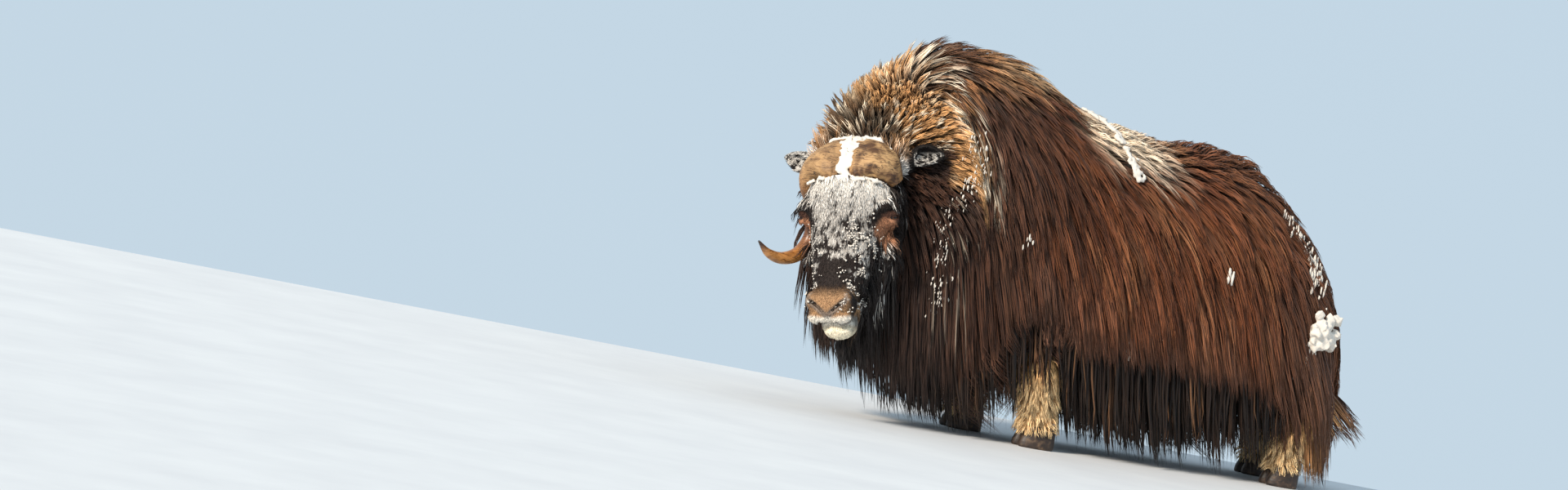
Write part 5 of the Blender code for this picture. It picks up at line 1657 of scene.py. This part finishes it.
FACE_CRUMBS = 420
FACE_LIFT = 0.0070
SNOW_VOXEL = 0.0036
roots, normals = face.scatter(FACE_CRUMBS, face_density)
crumbs += [crumb(place, rng.uniform(0.0011, 0.0032)) for place in roots + normals * FACE_LIFT]
snow = melt("snow", lumps, SNOW_VOXEL, 1)
loose = bmesh.new()
loose.from_mesh(snow.data)
for mesh in crumbs:
    loose.from_mesh(mesh)
    bpy.data.meshes.remove(mesh)
loose.to_mesh(snow.data)
loose.free()
snow.data.shade_smooth()
print("snow:", len(snow.data.polygons), "faces")

# %% [markdown]
# The skin is painted by the same markings as the hair, darkened as it is in the shade of the coat,
# so that no bare patch shows between tufts.

# %% Paint and unwrap the skins
def dress_skin(obj, skin, markings, head, shade):
    """Gives a skin its markings, in the coat's shade, and its unwrap."""
    base, tip = markings(skin.points, skin.normals)
    streak = np.concatenate([skin.points[:, :2], skin.points[:, 2:] * 0.2], axis=1)
    mesh = obj.data
    sides = np.empty(len(mesh.polygons), dtype=np.int64)
    mesh.polygons.foreach_get("loop_total", sides)
    owner = np.repeat(np.arange(len(sides)), sides)
    vertex = np.empty(len(mesh.loops), dtype=np.int64)
    mesh.loops.foreach_get("vertex_index", vertex)
    centres = read_rows(mesh.polygons, "center")
    chart = chart_of(centres, head)
    uv = np.empty((len(vertex), 2))
    for number in np.unique(chart):
        angles = roll_out(centres, number)[1]
        here = chart[owner] == number
        uv[here] = roll_out(skin.points[vertex[here]], number, angles[owner[here]])[0]
    layer = mesh.uv_layers.new(name="OFBake")
    layer.data.foreach_set("uv", uv.ravel())
    shade = shade + 0.4 * leg_share(skin.points) * (not head)
    paint_mesh(mesh, (base * 0.4 + tip * 0.6) * shade[:, None], streak)
    mesh.shade_smooth()
    mesh.transform(Matrix.Translation(-FOOTPRINT))


dress_skin(body_skin, body, body_markings, False, 0.45)
dress_skin(head_skin, face, head_markings, True, 0.85)
for obj in horns + eyes + hooves + [snow]:
    obj.data.transform(Matrix.Translation(-FOOTPRINT))
print("moved to the middle of the footprint by", tuple(round(-c, 3) for c in FOOTPRINT))

# %% [markdown]
# Materials are built from nodes by one small helper that adds a node with its settings and links.

# %% The node helper
def add_node(tree, kind, inputs=(), **settings):
    """Adds a shader node of a kind with its settings, and sets or links its inputs."""
    made = tree.nodes.new("ShaderNode" + kind)
    for name, value in settings.items():
        setattr(made, name, value)
    for socket, value in dict(inputs).items():
        if isinstance(value, bpy.types.NodeSocket):
            tree.links.new(value, made.inputs[socket])
        else:
            made.inputs[socket].default_value = value
    return made


def new_material(name, **sockets):
    """A material, its tree and its shader, whose sockets are named with _ for a space."""
    made = bpy.data.materials.new(name)
    made.use_nodes = True
    shader = made.node_tree.nodes["Principled BSDF"]
    for socket, value in sockets.items():
        shader.inputs[socket.replace("_", " ")].default_value = value
    return made, made.node_tree, shader


def rgba(code):
    return (*(float(c) for c in paint(code)), 1.0)


def set_ramp(node, stops):
    """Fills a colour ramp with stops, each a place and a hex colour."""
    ramp = node.color_ramp
    while len(ramp.elements) > 1:
        ramp.elements.remove(ramp.elements[-1])
    ramp.elements[0].position = stops[0][0]
    ramp.elements[0].color = rgba(stops[0][1])
    for place, colour in stops[1:]:
        ramp.elements.new(place).color = rgba(colour)
    return node


print("snow's colour as light:", [round(c, 3) for c in rgba("#ded5c9")])

# %% [markdown]
# Hair is keratin round a dark core: IOR 1.55, half glossy along its length. A tuft stands for
# some twenty hairs, so its colour is broken into lighter and darker streaks about 0.7 mm wide, drawn
# from the streak attribute: partly the hairs' own differing tones, partly painted shade between the
# hairs and painted light along them. A little sheen gives the bright edge that fur has against the light.

# %% Hair and skin
STREAK_PER_M = 1500.0   # side by side; a real guard hair is finer than would show here


def hair_material(name, roughness, sheen, contrast):
    made, tree, shader = new_material(
        name, Roughness=roughness, IOR=1.55, Specular_IOR_Level=0.22,
        Sheen_Weight=sheen, Sheen_Roughness=0.5,
    )
    dye = add_node(tree, "Attribute", attribute_name="dye")
    fine = add_node(tree, "Attribute", attribute_name="streak")
    stretched = add_node(
        tree, "VectorMath", {0: fine.outputs["Vector"], 1: (STREAK_PER_M, 16.0, 1.0)},
        operation="MULTIPLY",
    )
    noise = add_node(
        tree, "TexNoise",
        {"Vector": stretched.outputs[0], "Scale": 1.0, "Detail": 1.0, "Roughness": 0.6},
    )
    # The streaks are partly the hairs' own tones and partly painted shade between hairs and painted light
    # along them.
    streaks = add_node(
        tree, "MapRange",
        {"Value": noise.outputs["Fac"], "From Min": 0.32, "From Max": 0.70,
         "To Min": 1.0 - contrast, "To Max": 1.0 + contrast},
    )
    colour = add_node(
        tree, "VectorMath", {0: dye.outputs["Color"], 1: streaks.outputs["Result"]},
        operation="MULTIPLY",
    )
    tree.links.new(colour.outputs[0], shader.inputs["Base Color"])
    return made


guard_hair = hair_material("guard_hair_keratin", 0.55, 0.03, 0.50)
short_hair = hair_material("short_face_hair", 0.60, 0.03, 0.30)
skin_finish = hair_material("skin_under_hair", 0.75, 0.0, 0.20)
for piece in coat_pieces:
    piece.data.materials.append(short_hair if "face" in piece.name else guard_hair)
body_skin.data.materials.append(skin_finish)
head_skin.data.materials.append(skin_finish)
print("streaks are", round(1000 / STREAK_PER_M, 2), "mm wide")

# %% [markdown]
# Horn is keratin too, IOR 1.54. The boss is weathered: tan, matt, with growth lines a few
# millimetres apart and dark cracks. Further out it is polished by rubbing, brown at the base,
# amber along the hook, and nearly black at the point.

# %% Horn
def horn_material(weathering):
    made, tree, shader = new_material("weathered_horn_keratin", IOR=1.54, Specular_IOR_Level=0.5)
    reach = add_node(tree, "Attribute", attribute_name="growth")
    share = add_node(tree, "MapRange", {"Value": reach.outputs["Fac"], "From Min": 0.0, "From Max": 11.0})
    along = set_ramp(
        add_node(tree, "ValToRGB", {"Fac": share.outputs["Result"]}),
        (
            (0.00, "#b08a5e"), (0.26, "#c9a474"), (0.38, "#a87a4c"),
            (0.50, "#5c3a22"), (0.64, "#8a5a34"), (0.76, "#cf9255"),
            (0.90, "#d79c5f"), (0.97, "#5a3c28"), (1.00, "#241a14"),
        ),
    )
    where = add_node(tree, "TexCoord")
    turned = add_node(tree, "Mapping", {"Vector": where.outputs["Object"], "Rotation": (0.15, 0.0, 0.78)})
    bent = add_node(tree, "TexNoise", {"Vector": turned.outputs[0], "Scale": 14.0, "Detail": 3.0})
    warp = add_node(
        tree, "VectorMath", {0: bent.outputs["Color"], 1: (0.045,) * 3, 2: turned.outputs[0]},
        operation="MULTIPLY_ADD",
    )
    # Growth lines about 3 mm apart.
    rings = add_node(
        tree, "TexNoise",
        {"Vector": add_node(
            tree, "VectorMath", {0: warp.outputs[0], 1: (30.0, 30.0, 330.0)},
            operation="MULTIPLY",
        ).outputs[0], "Scale": 1.0, "Detail": 2.0},
    )
    lines = set_ramp(
        add_node(tree, "ValToRGB", {"Fac": rings.outputs["Fac"]}),
        ((0.36, "#7d5d40"), (0.47, "#e8dccb"), (1.0, "#ffffff")),
    )
    shaded = add_node(
        tree, "Mix", {0: 0.75, 6: along.outputs["Color"], 7: lines.outputs["Color"]},
        data_type="RGBA", blend_type="MULTIPLY",
    )
    # Cracks, only on the boss.
    cells = add_node(
        tree, "TexNoise",
        {"Vector": add_node(
            tree, "VectorMath", {0: warp.outputs[0], 1: (22.0, 22.0, 110.0)},
            operation="MULTIPLY",
        ).outputs[0], "Scale": 1.0, "Detail": 3.0},
    )
    off = add_node(tree, "Math", {0: cells.outputs["Fac"], 1: 0.5}, operation="SUBTRACT")
    off = add_node(tree, "Math", {0: off.outputs[0]}, operation="ABSOLUTE")
    open_crack = add_node(
        tree, "MapRange",
        {"Value": off.outputs[0], "From Min": 0.004, "From Max": 0.016, "To Min": 1.0, "To Max": 0.0},
    )
    few = add_node(tree, "TexNoise", {"Vector": turned.outputs[0], "Scale": 26.0, "Detail": 2.0})
    patchy = add_node(tree, "MapRange", {"Value": few.outputs["Fac"], "From Min": 0.50, "From Max": 0.58})
    on_boss = add_node(
        tree, "MapRange",
        {"Value": reach.outputs["Fac"], "From Min": 4.0, "From Max": 5.0, "To Min": 1.0, "To Max": 0.0},
    )
    crack = add_node(tree, "Math", {0: open_crack.outputs[0], 1: patchy.outputs[0]}, operation="MULTIPLY")
    crack = add_node(tree, "Math", {0: crack.outputs[0], 1: on_boss.outputs[0]}, operation="MULTIPLY")
    stain = add_node(tree, "TexNoise", {"Vector": turned.outputs[0], "Scale": 22.0, "Detail": 4.0})
    stained = set_ramp(
        add_node(tree, "ValToRGB", {"Fac": stain.outputs["Fac"]}),
        ((0.38, "#7d6a54"), (0.56, "#ffffff"), (1.0, "#ffffff")),
    )
    weathered = add_node(
        tree, "Mix", {0: weathering, 6: shaded.outputs[2], 7: stained.outputs["Color"]},
        data_type="RGBA", blend_type="MULTIPLY",
    )
    final = add_node(
        tree, "Mix", {0: crack.outputs[0], 6: weathered.outputs[2], 7: rgba("#2b1c12")},
        data_type="RGBA",
    )
    tree.links.new(final.outputs[2], shader.inputs["Base Color"])
    gloss = add_node(
        tree, "MapRange",
        {"Value": reach.outputs["Fac"], "From Min": 3.5, "From Max": 8.0, "To Min": 0.62, "To Max": 0.30},
    )
    tree.links.new(gloss.outputs["Result"], shader.inputs["Roughness"])
    height = add_node(
        tree, "Math", {0: rings.outputs["Fac"], 1: on_boss.outputs[0]}, operation="MULTIPLY"
    )
    height = add_node(tree, "Math", {0: height.outputs[0], 1: crack.outputs[0]}, operation="SUBTRACT")
    bump = add_node(tree, "Bump", {"Height": height.outputs[0], "Strength": 0.8, "Distance": 0.0020})
    tree.links.new(bump.outputs["Normal"], shader.inputs["Normal"])
    return made


WEATHERING = (0.55, 1.0)    # of the right horn, and of the broken left one
for obj, weathering in zip(horns, WEATHERING):
    obj.data.materials.append(horn_material(weathering))
print("horn nodes:", len(horns[0].data.materials[0].node_tree.nodes))

# %% [markdown]
# The eye is wet tissue, IOR 1.38, under a clear film that gives the one sharp highlight. Brown
# iris, black sideways pupil, dark rim. The hoof is keratin like the horn but dark and scuffed.
# Packed snow is ice grains and air, IOR 1.31, matt, and its colour is painted a little warm as painted light
# of a low sun.

# %% Eye, hoof and snow
def eye_material():
    made, tree, shader = new_material(
        "wet_dark_eye", Roughness=0.30, IOR=1.38, Specular_IOR_Level=0.2,
        Coat_Weight=0.35, Coat_Roughness=0.03,
    )
    look = add_node(tree, "Attribute", attribute_name="look")
    off = add_node(
        tree, "VectorMath", {0: look.outputs["Vector"], 1: (1.0, 1.0, 0.0)}, operation="MULTIPLY"
    )
    away = add_node(tree, "VectorMath", {0: off.outputs[0]}, operation="LENGTH")
    iris = set_ramp(
        add_node(tree, "ValToRGB", {"Fac": away.outputs["Value"]}),
        (
            (0.0, "#2a170d"), (0.36, "#4a2a16"), (0.52, "#20120b"),
            (0.60, "#0c0908"), (0.72, "#2c1d18"), (1.0, "#4a332b"),
        ),
    )
    stretch = add_node(
        tree, "VectorMath", {0: look.outputs["Vector"], 1: (1.0, 2.3, 0.0)}, operation="MULTIPLY"
    )
    bar = add_node(tree, "VectorMath", {0: stretch.outputs[0]}, operation="LENGTH")
    pupil = add_node(
        tree, "MapRange",
        {"Value": bar.outputs["Value"], "From Min": 0.34, "From Max": 0.42, "To Min": 1.0, "To Max": 0.0},
    )
    inked = add_node(
        tree, "Mix",
        {0: pupil.outputs["Result"], 6: iris.outputs["Color"], 7: rgba("#060505")}, data_type="RGBA",
    )
    tree.links.new(inked.outputs[2], shader.inputs["Base Color"])
    return made


def hoof_material():
    made, tree, shader = new_material("scuffed_hoof_keratin", IOR=1.54, Specular_IOR_Level=0.45)
    where = add_node(tree, "TexCoord")
    worn = add_node(tree, "TexNoise", {"Vector": where.outputs["Object"], "Scale": 60.0, "Detail": 4.0})
    colour = set_ramp(
        add_node(tree, "ValToRGB", {"Fac": worn.outputs["Fac"]}),
        ((0.30, "#1d1612"), (0.55, "#3b2c22"), (0.75, "#6a543f")),
    )
    tree.links.new(colour.outputs["Color"], shader.inputs["Base Color"])
    # Growth ridges about 4 mm apart run round the hoof.
    bands = add_node(
        tree, "VectorMath", {0: where.outputs["Object"], 1: (20.0, 20.0, 260.0)},
        operation="MULTIPLY",
    )
    ridges = add_node(tree, "TexNoise", {"Vector": bands.outputs[0], "Scale": 1.0, "Detail": 2.0})
    bump = add_node(tree, "Bump", {"Height": ridges.outputs["Fac"], "Strength": 0.5, "Distance": 0.0015})
    tree.links.new(bump.outputs["Normal"], shader.inputs["Normal"])
    rough = add_node(
        tree, "MapRange",
        {"Value": worn.outputs["Fac"], "From Min": 0.3, "From Max": 0.7, "To Min": 0.42, "To Max": 0.65},
    )
    tree.links.new(rough.outputs["Result"], shader.inputs["Roughness"])
    return made


def snow_material():
    """Packed snow is pale and matt, and a little bump gives its grain, about 4 mm."""
    made, tree, shader = new_material("packed_snow", Roughness=0.65, IOR=1.31, Specular_IOR_Level=0.3)
    # The warm tint of this colour is painted low-sun light.
    shader.inputs["Base Color"].default_value = rgba("#ded5c9")
    where = add_node(tree, "TexCoord")
    grain = add_node(tree, "TexNoise", {"Vector": where.outputs["Object"], "Scale": 250.0, "Detail": 2.0})
    bump = add_node(tree, "Bump", {"Height": grain.outputs["Fac"], "Strength": 0.6, "Distance": 0.002})
    tree.links.new(bump.outputs["Normal"], shader.inputs["Normal"])
    return made


snow.data.materials.append(snow_material())
eye_finish, hoof_finish = eye_material(), hoof_material()
for obj in eyes:
    obj.data.materials.append(eye_finish)
for obj in hooves:
    obj.data.materials.append(hoof_finish)
print("finishes:", ", ".join(sorted(material.name for material in bpy.data.materials)))

# %% [markdown]
# Each piece rides on the one body of the still model and takes the place of the solids it stands
# for. The skin stands for the flesh; the coat lies over it.

# %% Ride and replace
for piece in [body_skin, head_skin, *coat_pieces, *horns, *eyes, *hooves, snow]:
    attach(piece, "root")
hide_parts("torso", "neck", "tail", *LEGS)
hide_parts("head", "ear_left", "ear_right")
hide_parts("horn_right")
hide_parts("horn_left")
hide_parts("eye_left")
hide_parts("eye_right")
for obj, name in zip(hooves, LEGS):
    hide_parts(f"hoof_{name}")

# %% [markdown]
# The camera stands 20 m off with a long lens, as a wildlife picture is taken: 2.5 degrees above
# level, 25 degrees towards the head from square on. It is rolled by 10.8 degrees, because the
# real animal stood on a slope and here the floor is level.

# %% The camera
CAMERA_TURN = math.radians(25.5)
CAMERA_RISE = math.radians(2.5)
CAMERA_ROLL = math.radians(10.8)
CAMERA_DISTANCE = 20.0
CAMERA_AIM = Vector((-1.31233, 0.25138, 0.50396))
LENS_MM = 138.75

backward = Vector((
    -math.sin(CAMERA_TURN) * math.cos(CAMERA_RISE),
    -math.cos(CAMERA_TURN) * math.cos(CAMERA_RISE),
    math.sin(CAMERA_RISE),
))
level_right = Vector((math.cos(CAMERA_TURN), -math.sin(CAMERA_TURN), 0.0))
level_up = backward.cross(level_right)
camera_right = level_right * math.cos(CAMERA_ROLL) + level_up * math.sin(CAMERA_ROLL)
camera_up = level_up * math.cos(CAMERA_ROLL) - level_right * math.sin(CAMERA_ROLL)
camera_at = CAMERA_AIM + backward * CAMERA_DISTANCE

lens = bpy.data.cameras.new("camera")
lens.lens = LENS_MM
lens.sensor_width = 36.0
lens.sensor_fit = "HORIZONTAL"
lens.clip_end = 200.0
camera = new_object("camera", lens)
turned = Matrix((camera_right, camera_up, backward)).transposed().to_4x4()
camera.matrix_world = Matrix.Translation(camera_at - FOOTPRINT) @ turned
bpy.context.scene.camera = camera
print("camera at", tuple(round(c, 3) for c in camera_at))

# %% [markdown]
# A plain pale floor and a pale sky-coloured surround. The key is a broad warm light from the
# camera's left, the surround fills from everywhere else.

# %% Floor and light
FLOOR_SPREAD = 14.0
FLOOR_BEHIND = 1.0
floor_mesh = bpy.data.meshes.new("floor")
side_way = Vector((camera_right.x, camera_right.y, 0)).normalized()
near_way = Vector((camera_at.x, camera_at.y, 0)).normalized()
corners = [
    side_way * across + near_way * near
    for across, near in (
        (-FLOOR_SPREAD, -FLOOR_BEHIND), (FLOOR_SPREAD, -FLOOR_BEHIND),
        (FLOOR_SPREAD, FLOOR_SPREAD), (-FLOOR_SPREAD, FLOOR_SPREAD),
    )
]
floor_mesh.from_pydata([tuple(corner) for corner in corners], [], [(0, 1, 2, 3)])
floor = new_object("floor", floor_mesh)
floor_paint, tree, shader = new_material("pale_floor", Roughness=0.85)
where = add_node(tree, "TexCoord")
mottle = add_node(tree, "TexNoise", {"Vector": where.outputs["Object"], "Scale": 3.0, "Detail": 3.0})
tint = set_ramp(
    add_node(tree, "ValToRGB", {"Fac": mottle.outputs["Fac"]}),
    ((0.3, "#d6d6d6"), (0.7, "#dededd")),
)
tree.links.new(tint.outputs["Color"], shader.inputs["Base Color"])
floor.data.materials.append(floor_paint)
floor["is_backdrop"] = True

world = bpy.data.worlds.new("surround")
bpy.context.scene.world = world
world.use_nodes = True
tree = world.node_tree
background = tree.nodes["Background"]
where = add_node(tree, "TexCoord")
parts = add_node(tree, "SeparateXYZ", {0: where.outputs["Generated"]})
sky = set_ramp(
    add_node(tree, "ValToRGB", {
        "Fac": add_node(
            tree, "MapRange",
            {"Value": parts.outputs["Z"], "From Min": -0.20, "From Max": 0.30},
        ).outputs["Result"],
    }),
    ((0.0, "#f2f2f0"), (0.12, "#dfe6ea"), (0.20, "#c6d8e5"), (1.0, "#bcd2e4")),
)
tree.links.new(sky.outputs["Color"], background.inputs["Color"])
background.inputs["Strength"].default_value = 1.0

key = bpy.data.lights.new("key", "SUN")
key.energy = 4.3
key.angle = math.radians(12)
key.color = (1.0, 0.89, 0.76)
key_light = new_object("key", key)
key_way = -near_way * 0.80 + side_way * 0.55 - Vector((0, 0, 0.55))
key_light.rotation_euler = key_way.to_track_quat("-Z", "Y").to_euler()
bpy.context.scene.view_settings.view_transform = "Standard"
print("key light from", tuple(round(-c, 2) for c in key_way))

# %% [markdown]
# Loose hair may stand a little proud of the solids, and nothing else does, so the box of the
# finished model is printed.

# %% The box of the finished model
low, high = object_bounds()
print("model reaches from", [round(c, 4) for c in low], "to", [round(c, 4) for c in high])
